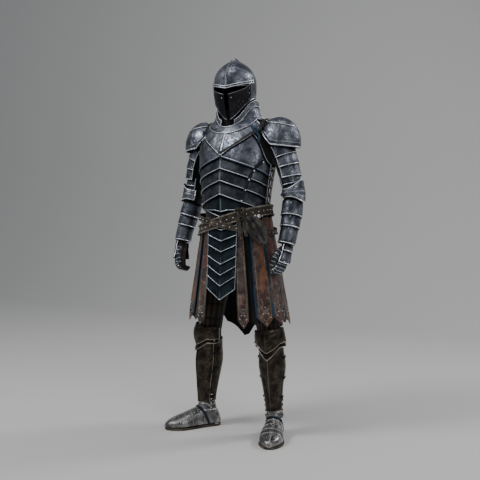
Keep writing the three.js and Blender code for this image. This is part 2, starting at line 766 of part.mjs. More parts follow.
// ---------------------------------------------------------------- belts, apron and skirt
const BELT_LIFT = 18;
function belts() {
  const top = (a) => 1090 + 56 * Math.sin(rad(a));
  add(
    "waist_belt",
    BELT_LEATHER,
    wall({
      form: skirt,
      across: [0, 360],
      along: [top, (a) => top(a) - 46],
      columns: 36,
      rows: 1,
      lift: BELT_LIFT,
      thick: LEATHER,
      closed: true,
    }),
  );
  const slant = (a) => 1050 - 40 * Math.sin(rad(a));
  add(
    "hip_belt",
    BELT_LEATHER,
    wall({
      form: skirt,
      across: [0, 360],
      along: [(a) => slant(a) + 13, (a) => slant(a) - 13],
      columns: 36,
      rows: 1,
      lift: BELT_LIFT + 6,
      thick: LEATHER,
      closed: true,
    }),
  );
  const POUCH = [
    { angle: 40, z: 1076, wide: 14, deep: 8 },
    { angle: 44, z: 1064, wide: 34, deep: 13 },
    { angle: 51, z: 1030, wide: 44, deep: 16 },
    { angle: 58, z: 990, wide: 38, deep: 15 },
    { angle: 62, z: 966, wide: 16, deep: 9 },
  ];
  const sections = POUCH.map((row) => ({ ...row, at: lifted(skirt, row.angle, row.z, BELT_LIFT + 26) }));
  add("belt_pouch", BELT_LEATHER, sausage(sections, vec(0.83, 0.56, 0), 12));
}

const STRIP_TOP = 1084;
const APRON_TIP = 687;
const APRON_RISE = 0.72; // how fast the edges of the apron's lames climb from the middle
function skirts() {
  const lames = [0.1, 0.24, 0.38, 0.54, 0.68, 0.82, 1];
  add(
    "apron",
    BLUED_STEEL,
    wall({
      form: bandOn(skirt, 0),
      across: [-78, 78],
      along: [(x) => 1060 + APRON_RISE * Math.abs(x) * 0.4, (x) => APRON_TIP + APRON_RISE * Math.abs(x)],
      columns: 6,
      rows: lameRows(lames),
      lift: lameLift(lames, 10.5, 3.5),
    }),
  );
  // Centre angle of each strip, its width at the hem and the height of its point.
  const STRIPS = [
    { at: 27, width: 52, tip: 556 },
    { at: 54, width: 74, tip: 566 },
    { at: 79, width: 80, tip: 572 },
    { at: 105, width: 82, tip: 560 },
    { at: 131, width: 96, tip: 562 },
    { at: 157, width: 96, tip: 556 },
  ];
  for (const [name, { side }] of Object.entries(SIDES))
    STRIPS.forEach(({ at, width, tip }, i) => {
      const narrow = (z) => lerp(0.62, 1, clamp((STRIP_TOP - z) / 400, 0, 1));
      const band = bandOn(skirt, side * at);
      add(
        `strip_${name}_${i + 1}`,
        RUSSET_LEATHER,
        wall({
          form: makeForm(1, (percent, z) => band((percent / 200) * width * narrow(z), z)),
          across: [-100, 100],
          along: [STRIP_TOP, (percent) => tip + 0.38 * Math.abs(percent)],
          columns: 2,
          rows: 6,
          lift: 7,
          thick: LEATHER,
        }),
      );
    });
  const dags = (a) => 24 * Math.abs(Math.sin(rad((a - 40) * 7)));
  const openFront = (a) => 150 * (1 - THREE.MathUtils.smoothstep(a, 24, 36));
  const tail = (a) => 140 * Math.max(0, 1 - Math.abs(a - 163) / 30);
  const hem = (a) => 574 + dags(a) + openFront(a) - tail(a);
  add(
    "skirt_cloth",
    DARK_CLOTH,
    wall({
      form: skirt,
      across: [0, 360],
      along: [1078, (a) => hem(fromFront(a))],
      columns: 54,
      rows: 2,
      thick: CLOTH,
      closed: true,
    }),
  );
}

// ---------------------------------------------------------------- legs
function breeches() {
  const seat = barrel(SEAT);
  const legs = Object.values(SIDES).map(({ side, leg, legTurn }) => limb(leg, side, legTurn));
  const cloth = (lift, past) =>
    joined([
      filled({ form: seat, along: [1018 + past, 842 - lift], columns: 16, rows: 4, lift }),
      ...legs.map((form) => filled({ form, along: [2 - lift, 690 + past], columns: 12, rows: 7, lift })),
    ]);
  add("breeches", BROWN_CLOTH, toGeometry(cloth(0, 0).subtract(cloth(-CLOTH, 8))));
}

function legPlates() {
  for (const [name, { side, leg, legTurn, footTurn, ankle }] of Object.entries(SIDES)) {
    const form = limb(leg, side, legTurn);
    const wing = (a) => hill(Math.abs(a), 86, 22);
    const LAME = 0.7; // share of the poleyn above its lower lame
    const cup = (a, t) => 11.5 + 13 * Math.sin((Math.PI * t) / 0.75) * hill(a, 0, 60);
    const lame = (a) => 10 + 8 * hill(a, 0, 24);
    add(
      `poleyn_${name}`,
      LEG_STEEL,
      wall({
        form,
        across: [-110, 110],
        along: [(a) => 398 + 0.1 * Math.abs(a) - 8 * wing(a), (a) => 542 - Math.min(Math.abs(a), 55)],
        columns: 16,
        rows: [0, 0.2, 0.4, 0.56, LAME, LAME + LAP, 1],
        lift: (a, t) => (t > LAME ? lame(a) : cup(a, t)) + 12 * wing(a) * t,
      }),
    );
    const keel = (a) => 5 + 5 * hill(a, 0, 12);
    add(
      `greave_front_${name}`,
      LEG_STEEL,
      wall({ form, across: [-86, 86], along: [470, 812], columns: 12, rows: 5, lift: keel }),
    );
    add(
      `greave_back_${name}`,
      LEG_STEEL,
      wall({ form, across: [90, 270], along: [478, 806], columns: 10, rows: 5, lift: 5 }),
    );
    const foot = footForm({ side, footTurn, ankle });
    const boot = (lift, past) =>
      joined([
        filled({ form: foot, along: [-lift, 290 + lift], columns: 12, rows: 8, lift }),
        filled({ form: limb(leg, side, footTurn), along: [760 - past, 860], columns: 12, rows: 2, lift }),
      ]);
    const outline = new THREE.Shape();
    const stations = FOOT.map((row) => ({ s: row.along, half: row.half + 3 }));
    outline.setFromPoints([
      ...stations.map(({ s, half }) => new THREE.Vector2(half, s)),
      new THREE.Vector2(0, 297),
      ...stations.reverse().map(({ s, half }) => new THREE.Vector2(-half, s)),
      new THREE.Vector2(0, -5),
    ]);
    const sole = new THREE.ExtrudeGeometry(outline, { depth: SOLE, bevelEnabled: false });
    sole
      .translate(0, -HEEL_BACK, 0)
      .rotateZ(Math.PI + side * rad(footTurn))
      .translate(ankle.x, ankle.y, 0);
    add(`sabaton_${name}`, LEG_STEEL, toGeometry(boot(0, 0).add(toSolid(sole)).subtract(boot(-STEEL, 8))));
  }
}

helmet();
gorget();
breast();
doublet();
armPlates();
hands();
belts();
skirts();
breeches();
legPlates();

suit.position.z = -WORN_AT;
export default suit;
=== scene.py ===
"""Suit of plate armour, worn and hollow, as it stands on its wearer.

Every piece is a surface worked out with numpy from the short tables below. Lengths are millimetres, heights
are above the floor, angles are degrees; put() turns them into the frame's metres, with the origin between the
shoulders. The wearer faces -Y and the wearer's left is +X.
"""

import bmesh
import bpy
import numpy as np
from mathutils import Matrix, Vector


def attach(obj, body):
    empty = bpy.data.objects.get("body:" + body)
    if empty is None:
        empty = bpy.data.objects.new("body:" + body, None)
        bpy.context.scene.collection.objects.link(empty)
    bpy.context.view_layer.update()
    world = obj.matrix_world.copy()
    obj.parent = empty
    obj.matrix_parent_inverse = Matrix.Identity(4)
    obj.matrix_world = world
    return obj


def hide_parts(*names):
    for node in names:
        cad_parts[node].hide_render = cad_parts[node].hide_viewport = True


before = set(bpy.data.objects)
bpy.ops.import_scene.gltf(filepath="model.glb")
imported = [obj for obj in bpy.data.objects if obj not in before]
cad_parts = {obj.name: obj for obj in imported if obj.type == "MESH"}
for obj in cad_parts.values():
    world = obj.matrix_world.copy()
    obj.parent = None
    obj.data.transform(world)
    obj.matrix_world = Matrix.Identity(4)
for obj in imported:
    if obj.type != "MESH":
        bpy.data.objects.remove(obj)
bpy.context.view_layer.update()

MM = 0.001
WORN_AT = 1480.0  # height of the origin above the floor
STEEL, CLOTH, LEATHER, SOLE = 2.0, 2.0, 3.0, 11.0  # thickness of plates, cloth, straps and boot soles
RIM = 2.6  # radius of the roll along the edge of a plate
rad, deg = np.radians, np.degrees


# ---------------------------------------------------------------- tables
def table(text):
    """Named columns of numbers. The first line names them."""
    head, *rows = [line.split() for line in text.strip().splitlines()]
    return dict(zip(head, np.array(rows, float).T))


# Upright forms, by height. x is the middle's way to the left and mid its way back, half the half width, front
# and back the depths from the middle, square the power that fills the corners, keel how far the ridge in front
# stands out.
TORSO = table("""
z    x  mid half front back square keel
960  10 -38 178 138 124 2.2  0
1040 10 -42 166 134 112 2.2  3
1110 10 -42 162 132 108 2.25 6
1200 10 -40 168 138 114 2.3  6
1300 10 -36 181 142 126 2.35 6
1384 10 -30 187 140 134 2.4  6
1440  9 -20 185 130 130 2.4  4
1482  7 -12 174 118 119 2.4  2
1520  5  -8 156 100 106 2.3  0
1548  3  -6 126  85  90 2.1  0
1570  2  -7  96  77  78 2    0
1590  0 -10  80  74  72 2    0
1620  0 -16  75  72  72 2    0
""")
TORSO_TURN = -3
COLLAR = table("""
z    mid half front back
1560  -8 130 112 112
1590 -13 116 104 102
1620 -19 106 100 102
1680 -28 101 100 106
""")
SKIRT = table("""
z    x  mid half front back square
420   0 -20 286 176 232 2.1
580   2 -22 262 172 204 2.1
760   5 -28 230 162 170 2.1
930   8 -34 198 152 140 2.15
1040 10 -40 177 146 122 2.2
1110 10 -42 168 142 112 2.2
""")
SEAT = table("""
z    mid half front back square
840  -18 120  96 112 2.1
900  -24 160 114 122 2.1
960  -34 166 120 114 2.1
1020 -40 158 122 102 2.1
""")
HELM = table("""
z   mid half front back keel
-20  0   74   90   88 4
40   0   87  104  104 5
96   0   97  116  116 6
147  0  102  123  124 6
199  0  100  120  123 7
229  0   90  106  112 7
256  0   70   82   90 6
275  0   47   54   61 5
285  0   29   33   37 3
292  0   20   22   24 1
299  0   14   15   16 0
306  0    2    2    2 0
""")
HELM_AT = {"at": (2, -42, 1561), "turn": 8, "nod": 3}
# Limbs, by the way along them. x is out from the suit's middle, wide and deep are half the oval's width and
# depth.
ARM_LEFT = table("""
along x   y    z   wide deep
0    168   0 1462  58 58
70   218   2 1424  56 58
150  252   5 1345  50 53
230  273   6 1268  46 49
310  290   4 1192  43 46
390  298 -16 1118  41 44
470  297 -38 1042  35 38
550  290 -58  966  28 31
600  284 -68  918  22 34
645  276 -76  874  20 42
""")
ARM_RIGHT = table("""
along x   y    z   wide deep
0    168  10 1462  58 58
70   214  16 1424  56 58
150  254  20 1345  50 53
230  267  19 1268  46 49
310  278  14 1192  43 46
390  296   2 1118  41 44
470  313 -14 1042  35 38
550  323 -32  966  28 31
600  324 -42  918  22 34
645  322 -50  874  20 42
""")
LEG_LEFT = table("""
along x   y   z  wide deep
0     94 -18 940  78 90
190  140 -22 750  76 82
340  166 -24 600  64 68
440  182 -20 500  57 61
510  185 -12 430  57 60
590  186  -2 350  61 66
700  186   6 240  45 52
800  187  14 140  36 42
850  190  14  90  37 45
""")
LEG_RIGHT = table("""
along x   y   z  wide deep
0     94 -18 940  78 90
190  132 -24 750  76 82
340  152 -28 600  64 68
440  164 -24 500  57 61
510  168 -16 430  57 60
590  176 -10 350  61 66
700  186  -8 240  46 53
800  193  -6 140  36 42
850  193  -6  90  37 45
""")
# The foot, from the heel: half its width, the height of its fullest line, and the height of its top.
FOOT = table("""
along half base top
0     22 18  40
14    34 20  74
50    39 20  98
95    43 20 100
135   50 19  84
175   57 18  68
215   57 17  54
252   45 15  41
280   25 14  28
290   12 13  20
""")
HEEL_BACK = 66  # from the ankle's middle
# The hand, from the wrist: down it, forward and out from its middle line.
PALM = table("""
step down forward out wide deep
0    -34  0  0 27 21
1     10  0  0 30 19
2     48  0  0 41 17
3     88  0 -2 43 14
""")
FINGER = table("""
step down out wide deep
0    76  -1 10   11
1   116  -8 10   11
2   138 -27  9.5 10
3   129 -40  8    8
""")
THUMB = table("""
step down forward out wide deep
0    26 26  -8 13  13
1    62 50 -17 12  12
2   112 44 -32  8.5 8.5
""")
FINGERS_AT = (31, 10.5, -10.5, -31)  # forward of the palm's middle
SIDES = {
    "left": {"side": 1, "arm": ARM_LEFT, "leg": LEG_LEFT, "leg_turn": 9, "foot_turn": 20, "ankle": (191, 14)},
    "right": {
        "side": -1, "arm": ARM_RIGHT, "leg": LEG_RIGHT, "leg_turn": 36, "foot_turn": 40, "ankle": (-193, -6),
    },
}


# ---------------------------------------------------------------- forms
def read(rows, key, at):
    """Every column at `at`: between two rows a cubic whose slope at each row is that of the line between the
    rows on either side of it, and past the ends a straight line."""
    order = slice(None) if rows[key][0] < rows[key][-1] else slice(None, None, -1)
    k, at = rows[key][order], np.asarray(at, float)
    i = np.clip(np.searchsorted(k, at, "right") - 1, 0, len(k) - 2)
    before, after = np.maximum(i - 1, 0), np.minimum(i + 2, len(k) - 1)
    span = k[i + 1] - k[i]
    s = (at - k[i]) / span
    t = np.clip(s, 0, 1)
    out = {}
    for name, column in rows.items():
        c = column[order]
        enter = (c[i + 1] - c[before]) / (k[i + 1] - k[before])
        leave = (c[after] - c[i]) / (k[after] - k[i])
        out[name] = (
            (2 * t**3 - 3 * t**2 + 1) * c[i]
            + (t**3 - 2 * t**2 + t) * span * enter
            + (3 * t**2 - 2 * t**3) * c[i + 1]
            + (t**3 - t**2) * span * leave
            + (s - t) * span * np.where(s < 0, enter, leave)
        )
    return out


def unit(v):
    """Directions of length one."""
    return v / np.maximum(np.linalg.norm(v, axis=-1, keepdims=True), 1e-9)


def xyz(x, y, z):
    """Points from numbers or arrays."""
    return np.stack(np.broadcast_arrays(x, y, z), -1).astype(float)


def turned(p, degrees, axis=2):
    """Points turned about the X, Y or Z axis by the right-hand rule."""
    c, s = np.cos(rad(degrees)), np.sin(rad(degrees))
    i, j = [(1, 2), (2, 0), (0, 1)][axis]
    q = p.copy()
    q[..., i], q[..., j] = c * p[..., i] - s * p[..., j], s * p[..., i] + c * p[..., j]
    return q


class Form:
    """A surface. point(across, along) is where it is, and turn says which side of it is out."""

    def __init__(self, turn, point):
        self.turn, self.point = turn, point

    def __call__(self, across, along):
        return self.point(*np.broadcast_arrays(np.asarray(across, float), np.asarray(along, float)))

    def normal(self, across, along):
        """The cross product of the two directions along the surface."""
        around = self(np.add(across, 0.5), along) - self(np.subtract(across, 0.5), along)
        onward = self(across, np.add(along, 0.5)) - self(across, np.subtract(along, 0.5))
        return unit(np.cross(around, onward)) * self.turn

    def lifted(self, across, along, lift):
        return self(across, along) + self.normal(across, along) * np.asarray(lift, float)[..., None]


def from_front(a):
    """Degrees from the front, to either side."""
    return np.abs((np.asarray(a, float) + 180) % 360 - 180)


def barrel(rows, turn=0):
    """An oval at each height: half sideways, front and back from mid, its corners filled by the power
    `square`, with a keel that falls away from the front by the exponential of the angle."""

    def point(a, z):
        r = read(rows, "z", z)
        s, c = np.sin(rad(a)), np.cos(rad(a))
        n = r.get("square", 2.0)
        k = (np.abs(s) ** n + np.abs(c) ** n) ** (-1 / n)
        depth = np.where(c > 0, r["front"], r["back"])
        keel = r.get("keel", 0.0) * np.exp(-from_front(a) / 12)
        p = turned(xyz(r["half"] * s * k, r["mid"] - depth * c * k - keel, z), turn)
        p[..., 0] += r.get("x", 0.0)
        return p

    return Form(1, point)


def limb_frame(rows, side, turn, s):
    """The middle of a limb, the way down it, and the ahead and outward directions square to that."""

    def centre(at):
        r = read(rows, "along", at)
        return xyz(side * r["x"], r["y"], r["z"])

    s = np.asarray(s, float)
    down = unit(centre(s + 1) - centre(s - 1))
    ahead = np.array([side * np.sin(rad(turn)), -np.cos(rad(turn)), 0.0])
    ahead = unit(ahead - down * (down @ ahead)[..., None])
    return centre(s), down, ahead, np.cross(ahead, down) * side


def limb(rows, side, turn=0):
    """An oval carried down a centre line: wide outward, deep ahead. Angle 0 is ahead and 90 outward."""

    def point(a, s):
        r = read(rows, "along", s)
        centre, _, ahead, outward = limb_frame(rows, side, turn, s)
        return (
            centre
            + outward * (r["wide"] * np.sin(rad(a)))[..., None]
            + ahead * (r["deep"] * np.cos(rad(a)))[..., None]
        )

    return Form(-side, point)


def foot_form(side, foot_turn, ankle):
    """A section from heel to toe: the sine and cosine of the angle, with the sides and the bottom made fuller
    by a power below one."""
    ahead = np.array([side * np.sin(rad(foot_turn)), -np.cos(rad(foot_turn)), 0.0])
    outward = np.array([side * np.cos(rad(foot_turn)), np.sin(rad(foot_turn)), 0.0])

    def point(a, s):
        r = read(FOOT, "along", s)
        across, up = np.sin(rad(a)), np.cos(rad(a))
        low = r["base"] * (1 - np.abs(up) ** 0.4)
        height = np.where(up > 0, r["base"] + (r["top"] - r["base"]) * up, low)
        p = (
            xyz(ankle[0], ankle[1], 0.0)
            + ahead * (s - HEEL_BACK)[..., None]
            + outward * (r["half"] * np.sign(across) * np.abs(across) ** 0.8)[..., None]
        )
        p[..., 2] = SOLE - 1 + height
        return p

    return Form(-side, point)


def dome(side, x, y, z, wide, deep, high, lean):
    """An oval dome leant outwards. Along is degrees down from its top."""

    def point(a, down):
        a, d = rad(a), rad(down)
        p = xyz(wide * np.sin(a) * np.sin(d), -deep * np.cos(a) * np.sin(d), high * np.cos(d))
        p = turned(p, lean, axis=1) + (x, y, z)
        return p * (side, 1, 1)

    return Form(-side, point)


def band_on(form, at):
    """Places on a form in millimetres to either side of the line at one angle."""

    def point(across, z):
        radius = np.linalg.norm(form(at + 1.0, z) - form(at - 1.0, z), axis=-1) / (2 * rad(1))
        return form(at + deg(across / radius), z)

    return Form(1, point)


def hill(place, middle, spread):
    """A bell of height one: the exponential of minus the squared distance over the spread."""
    return np.exp(-(((np.asarray(place, float) - middle) / spread) ** 2))


def smooth(low, high, x):
    """A soft step from 0 at low to 1 at high: three squares less two cubes."""
    t = np.clip((np.asarray(x, float) - low) / (high - low), 0, 1)
    return t * t * (3 - 2 * t)


torso = barrel(TORSO, TORSO_TURN)
collar = barrel(COLLAR)
skirt = barrel(SKIRT)
upright_helm = barrel(HELM)


def worn_helm(a, s):
    """The upright helmet, nodded forward, turned to its side and lifted to its place."""
    nodded = turned(upright_helm(a, s), HELM_AT["nod"], axis=0)
    return turned(nodded, HELM_AT["turn"]) + np.array(HELM_AT["at"], float)


helm = Form(1, worn_helm)


# ---------------------------------------------------------------- parts of a mesh
def outward_faces(part):
    """The part with its faces turned outwards: the sum of the faces' cones from the middle is its volume."""
    p, q = part["points"] - part["points"].mean(0), part["quads"]
    volume = sum(np.einsum("ij,ij->", p[q[:, 0]], np.cross(p[q[:, i]], p[q[:, i + 1]])) for i in (1, 2))
    if volume < 0:
        part["quads"], part["uv"] = q[:, ::-1], part["uv"][:, ::-1]
        part["caps"] = [cap[::-1] for cap in part["caps"]]
    return part


def sheet_quads(n):
    """The four corners of each face of a grid of numbered points."""
    return np.stack([n[:-1, :-1], n[:-1, 1:], n[1:, 1:], n[1:, :-1]], -1).reshape(-1, 4)


def walled(outer, inner, wear, uv, closed):
    """Two grids of points, the outside and the inside of a wall, joined along their edges. The inside's value
    for wear and painted light is held at 0.1 or below, so the inside is painted dark as shade."""
    m, n = outer.shape[:2]
    o = np.arange(m * n).reshape(m, n)
    o = np.hstack([o, o[:, :1]]) if closed else o
    i = o + m * n
    w = np.arange(uv.shape[0] * uv.shape[1]).reshape(uv.shape[:2])
    grids = [(o, w), (i[:, ::-1], w[:, ::-1])]
    grids += [(np.stack([i[0], o[0]]), w[[0, 0]]), (np.stack([o[-1], i[-1]]), w[[-1, -1]])]
    if not closed:
        grids += [(np.stack([i[:, 0], o[:, 0]], 1), w[:, [0, 0]])]
        grids += [(np.stack([o[:, -1], i[:, -1]], 1), w[:, [-1, -1]])]
    return outward_faces({
        "points": np.concatenate([outer.reshape(-1, 3), inner.reshape(-1, 3)]),
        "quads": np.concatenate([sheet_quads(g) for g, _ in grids]),
        "uv": uv.reshape(-1, 2)[np.concatenate([sheet_quads(g) for _, g in grids])],
        # the inside is painted dark as shade
        "wear": np.concatenate([wear.ravel(), np.minimum(wear.ravel(), 0.1)]),
        "caps": [],
    })


NEAR = np.array([0, 0.5, 1.3, 2.3, 3.6, 4.9, 5.9, 7.1, 9.0])  # from an edge, where a rolled rim needs points


def shares(length, count, fine):
    """Shares of a length: close together near both ends if fine, and even between them."""
    length = np.asarray(length, float)[..., None]
    if not fine:
        return np.broadcast_to(np.linspace(0, 1, count + 1), length.shape[:-1] + (count + 1,))
    near = NEAR * np.minimum(1, length / 24) / length
    t = np.linspace(0, 1, count + 2)[1:-1]
    between = near[..., -1:] + t * (1 - 2 * near[..., -1:])
    return np.concatenate([near, between, 1 - near[..., ::-1]], -1)


def called(value, *places):
    """A value, or what a function says of the places."""
    return value(*places) if callable(value) else value


def plate(form, across, along, lift=0.0, thick=STEEL, count=(60, 14), rims="tblr", closed=False,
          relief=None, lap_shadow=0.0, rim=RIM, wander=0.35, rows=None):
    """A wall on a form, from one line across it to another. Its outside stands off by lift, plus a half-round
    roll along each edge that rims names (t, b, l, r), a fine groove behind the roll, and relief(across,
    share, millimetres from the nearest edge). The value it carries for wear and painted light is raised along
    the roll, a rubbed edge with a painted highlight, lowered in the groove as painted shade, and follows the
    relief: a painted highlight where it stands out and painted shade where it sinks. The lap depth is how far
    down from the top the plate above covers it; down to there, and fading below, the plate is painted darker
    as that plate's shadow. wander is a slow sum of sines that takes off the machined look."""
    lines = np.linspace(0, 1, 41)
    probe = across[0] + (across[1] - across[0]) * lines
    middle = (called(along[0], probe) + called(along[1], probe)) / 2 + 0 * probe
    width = np.linalg.norm(np.diff(form(probe, middle), axis=0), axis=1).sum()
    u = shares(width, count[0], not closed)
    place = (across[0] + (across[1] - across[0]) * u)[None, :]
    ends = [called(edge, place) + 0 * place for edge in along]
    if rows is None:
        way = form(place, ends[0] + (ends[1] - ends[0]) * np.linspace(0, 1, 21)[:, None])
        length = np.linalg.norm(np.diff(way, axis=0), axis=2).sum(0)
        t = np.moveaxis(shares(length, count[1], True), -1, 0)
    else:
        t = rows[:, None] + 0 * place
    station = ends[0] + (ends[1] - ends[0]) * t
    place = place + 0 * t
    base = form.lifted(place, station, called(lift, place, t) + 0 * t)

    step = np.linalg.norm(np.diff(base, axis=0), axis=2)
    top = np.vstack([np.zeros_like(step[:1]), step.cumsum(0)])
    step = np.linalg.norm(np.diff(base, axis=1), axis=2)
    left = np.hstack([np.zeros_like(step[:, :1]), step.cumsum(1)])
    sides = {"t": top, "b": top[-1:] - top, "l": left, "r": left[:, -1:] - left}
    d = np.min([sides[k] for k in rims] + [np.full_like(top, 1e3)], axis=0)
    roll = rim * np.sqrt(np.clip(1 - ((d - rim) / rim) ** 2, 0, 1)) * (d < 2 * rim)
    groove = hill(d, 2 * rim + 1.6, 1.1) * (len(rims) > 0)
    raised = called(relief, place, t, d) if relief else 0 * d
    extra = roll - 0.5 * groove + raised
    x, y, z = np.moveaxis(base, -1, 0)
    sines = np.sin(x / 17 + z / 29) + np.sin(y / 13 - z / 23 + 2) + np.sin((x + y + z) / 37 + 4)
    extra = extra + wander * sines / 2

    # painted light: a rubbed edge with a painted highlight along the roll, and painted shade in the groove
    # behind it
    wear = 0.5 + 0.5 * np.exp(-((d / (2.2 * rim)) ** 4)) - 0.32 * groove
    # painted highlight on raised relief and painted shade in sunk relief
    wear = wear + 0.16 * np.clip(raised, -1.5, 1.7) * (d > 2 * rim)
    # painted shadow under the lap of the plate above, fading over 7 mm below it
    if lap_shadow:
        wear = wear - 0.5 * np.exp(-np.maximum(top - lap_shadow, 0) / 7) * (d > 2 * rim)
    outer = base + form.normal(place, station) * extra[..., None]
    inner = form.lifted(place, station, called(lift, place, t) - thick)
    uv = np.stack([left, top], -1) * MM
    wear = np.clip(wear, 0, 1)
    if closed:
        outer, inner, wear = outer[:, :-1], inner[:, :-1], wear[:, :-1]
    return walled(outer, inner, wear, uv, closed)


def swept(path, flat, profile, closed=False, wear=0.5):
    """A profile carried along a path of points. flat is the profile's first direction at each point, and its
    second is square to that and to the path. A closed path joins up; an open one is capped."""
    path = np.asarray(path, float)
    ahead = unit(np.roll(path, -1, 0) - np.roll(path, 1, 0)) if closed else unit(np.gradient(path, axis=0))
    flat = np.broadcast_to(np.asarray(flat, float), path.shape)
    flat = unit(flat - ahead * (flat * ahead).sum(-1, keepdims=True))
    rise = np.cross(ahead, flat)
    profile = np.broadcast_to(np.asarray(profile, float), (len(path),) + np.shape(profile)[-2:])
    p = path[:, None] + flat[:, None] * profile[..., :1] + rise[:, None] * profile[..., 1:]
    m, n = p.shape[:2]
    o = np.arange(m * n).reshape(m, n)
    o = np.hstack([o, o[:, :1]])
    o = np.vstack([o, o[:1]]) if closed else o
    steps = np.linalg.norm(np.diff(path, axis=0, append=path[:1]), axis=1)
    v = np.concatenate([[0], steps.cumsum()])[: len(o)]
    around = np.concatenate([[0], np.linalg.norm(np.diff(p[0], axis=0, append=p[0][:1]), axis=1).cumsum()])
    uv = np.stack(np.broadcast_arrays(around[None, :], v[:, None]), -1) * MM
    w = np.arange(uv.shape[0] * uv.shape[1]).reshape(uv.shape[:2])
    return outward_faces({
        "points": p.reshape(-1, 3),
        "quads": sheet_quads(o),
        "uv": uv.reshape(-1, 2)[sheet_quads(w)],
        "wear": np.repeat(np.broadcast_to(np.asarray(wear, float), (m,)), n),
        "caps": [] if closed else [list(range(n)), list(range(m * n - 1, m * n - n - 1, -1))],
    })


def ring(count, wide=1.0, deep=None):
    """An oval profile."""
    a = np.linspace(0, 2 * np.pi, count, endpoint=False)
    return np.stack([wide * np.cos(a), (wide if deep is None else deep) * np.sin(a)], -1)


def slab(wide, thick, corner=1.0):
    """The section of a strap: a flat bar with its corners taken off."""
    w, t = wide / 2, thick / 2
    k = min(corner, t * 0.9)
    right = [(w - k, -t), (w, -t + k), (w, t - k), (w - k, t)]
    return np.array(right[1:] + [(-x, y) for x, y in right[::-1]] + right[:1])


def line_on(form, places, lift):
    """A path on a form through (across, along) places, read as a smooth curve, and the form's normals along
    it."""
    places = np.array(places, float)
    rows = {"step": np.arange(len(places), dtype=float), "a": places[:, 0], "s": places[:, 1]}
    r = read(rows, "step", np.linspace(0, len(places) - 1, 16 * (len(places) - 1) + 1))
    return form.lifted(r["a"], r["s"], lift + 0 * r["a"]), form.normal(r["a"], r["s"])


def strap_on(form, places, lift, wide, thick=LEATHER, wear=0.5):
    """A strap along a line on a form."""
    path, normal = line_on(form, places, lift + thick / 2)
    return swept(path, np.cross(np.gradient(path, axis=0), normal), slab(wide, thick), wear=wear)


STUD_RINGS = ((1.0, -0.6), (1.0, 0.05), (0.8, 0.62), (0.36, 0.94))  # shares of the radius and of the height


def studs(points, normals, radius, high=0.6):
    """Round-headed studs: four rings on half an oval, joined into one part each."""
    points, normals = np.atleast_2d(points), np.atleast_2d(normals)
    side = unit(np.cross(normals, (0.31, 0.53, 0.79)))
    fore = np.cross(normals, side)
    a = np.linspace(0, 2 * np.pi, 8, endpoint=False)
    o = np.arange(32).reshape(4, 8)
    quads = sheet_quads(np.hstack([o, o[:, :1]]))
    parts = []
    for p, n, s, f in zip(points, normals, side, fore):
        around = np.cos(a)[:, None] * s + np.sin(a)[:, None] * f
        rings = [p + radius * r * around + n * radius * high * h for r, h in STUD_RINGS]
        parts.append(outward_faces({
            "points": np.concatenate(rings), "quads": quads, "uv": np.zeros((len(quads), 4, 2)),
            "wear": np.full(32, 0.95), "caps": [list(range(8))[::-1], list(range(24, 32))],
        }))
    return parts


def studs_on(form, across, along, lift, radius, high=0.6):
    """Studs at places on a form."""
    across, along = np.broadcast_arrays(np.asarray(across, float), np.asarray(along, float))
    return studs(form.lifted(across, along, lift + 0 * across), form.normal(across, along), radius, high)


SHARP = 38  # degrees between two faces past which the edge between them shows


def put(name, parts, finish, slot, *nodes, merge=False):
    """One object from parts, in the frame's metres, with the solids that it stands for. merge closes a
    pole."""
    parts = parts if isinstance(parts, list) else [parts]
    start = np.cumsum([0] + [len(p["points"]) for p in parts])
    points = (np.concatenate([p["points"] for p in parts]) - (0, 0, WORN_AT)) * MM
    faces = np.concatenate([p["quads"] + s for p, s in zip(parts, start)]).tolist()
    uv = np.concatenate([p["uv"].reshape(-1, 2) for p in parts])
    for p, s in zip(parts, start):
        for cap in p["caps"]:
            faces.append([s + i for i in cap])
            uv = np.concatenate([uv, np.zeros((len(cap), 2))])
    mesh = bpy.data.meshes.new(name)
    mesh.from_pydata(points.tolist(), [], faces)
    mesh.uv_layers.new(name="place").data.foreach_set("uv", uv.astype(np.float32).ravel())
    wear = mesh.attributes.new("wear", "FLOAT", "POINT")
    wear.data.foreach_set("value", np.concatenate([p["wear"] for p in parts]).astype(np.float32))
    if merge:
        b = bmesh.new()
        b.from_mesh(mesh)
        bmesh.ops.remove_doubles(b, verts=b.verts, dist=2e-5)
        b.to_mesh(mesh)
        b.free()
    mesh.shade_smooth()
    mesh.set_sharp_from_angle(angle=rad(SHARP))
    mesh.materials.append(finish)
    obj = bpy.data.objects.new(name, mesh)
    bpy.context.collection.objects.link(obj)
    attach(obj, "root")
    if nodes:
        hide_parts(*nodes)
    return obj


# ---------------------------------------------------------------- finishes
def colour(code):
    """An sRGB hex value as the linear colour that a shader takes."""
    c = np.array([int(code[i : i + 2], 16) for i in (0, 2, 4)]) / 255
    return (*np.where(c <= 0.04045, c / 12.92, ((c + 0.055) / 1.055) ** 2.4).tolist(), 1.0)


def add(tree, kind, inputs, **settings):
    """A node with its settings, and with each input either a value or the socket that feeds it."""
    node = tree.nodes.new("ShaderNode" + kind)
    for name, value in settings.items():
        setattr(node, name, value)
    for key, value in inputs.items():
        if isinstance(value, bpy.types.NodeSocket):
            tree.links.new(value, node.inputs[key])
        else:
            node.inputs[key].default_value = value
    return node


UNDER, OVER, MIXED = 6, 7, 2  # the two colours and the result of a colour Mix, by the number of the socket
PAINTED_SHADE_AT = (0.46, 0.05)  # the value for wear and painted light at which painted shade begins, and at which it covers


def material(name):
    """A material with one shader, and its node tree."""
    m = bpy.data.materials.new(name)
    m.use_nodes = True
    tree = m.node_tree
    tree.nodes.clear()
    shader = add(tree, "BsdfPrincipled", {})
    add(tree, "OutputMaterial", {"Surface": shader.outputs[0]})
    return m, tree, shader


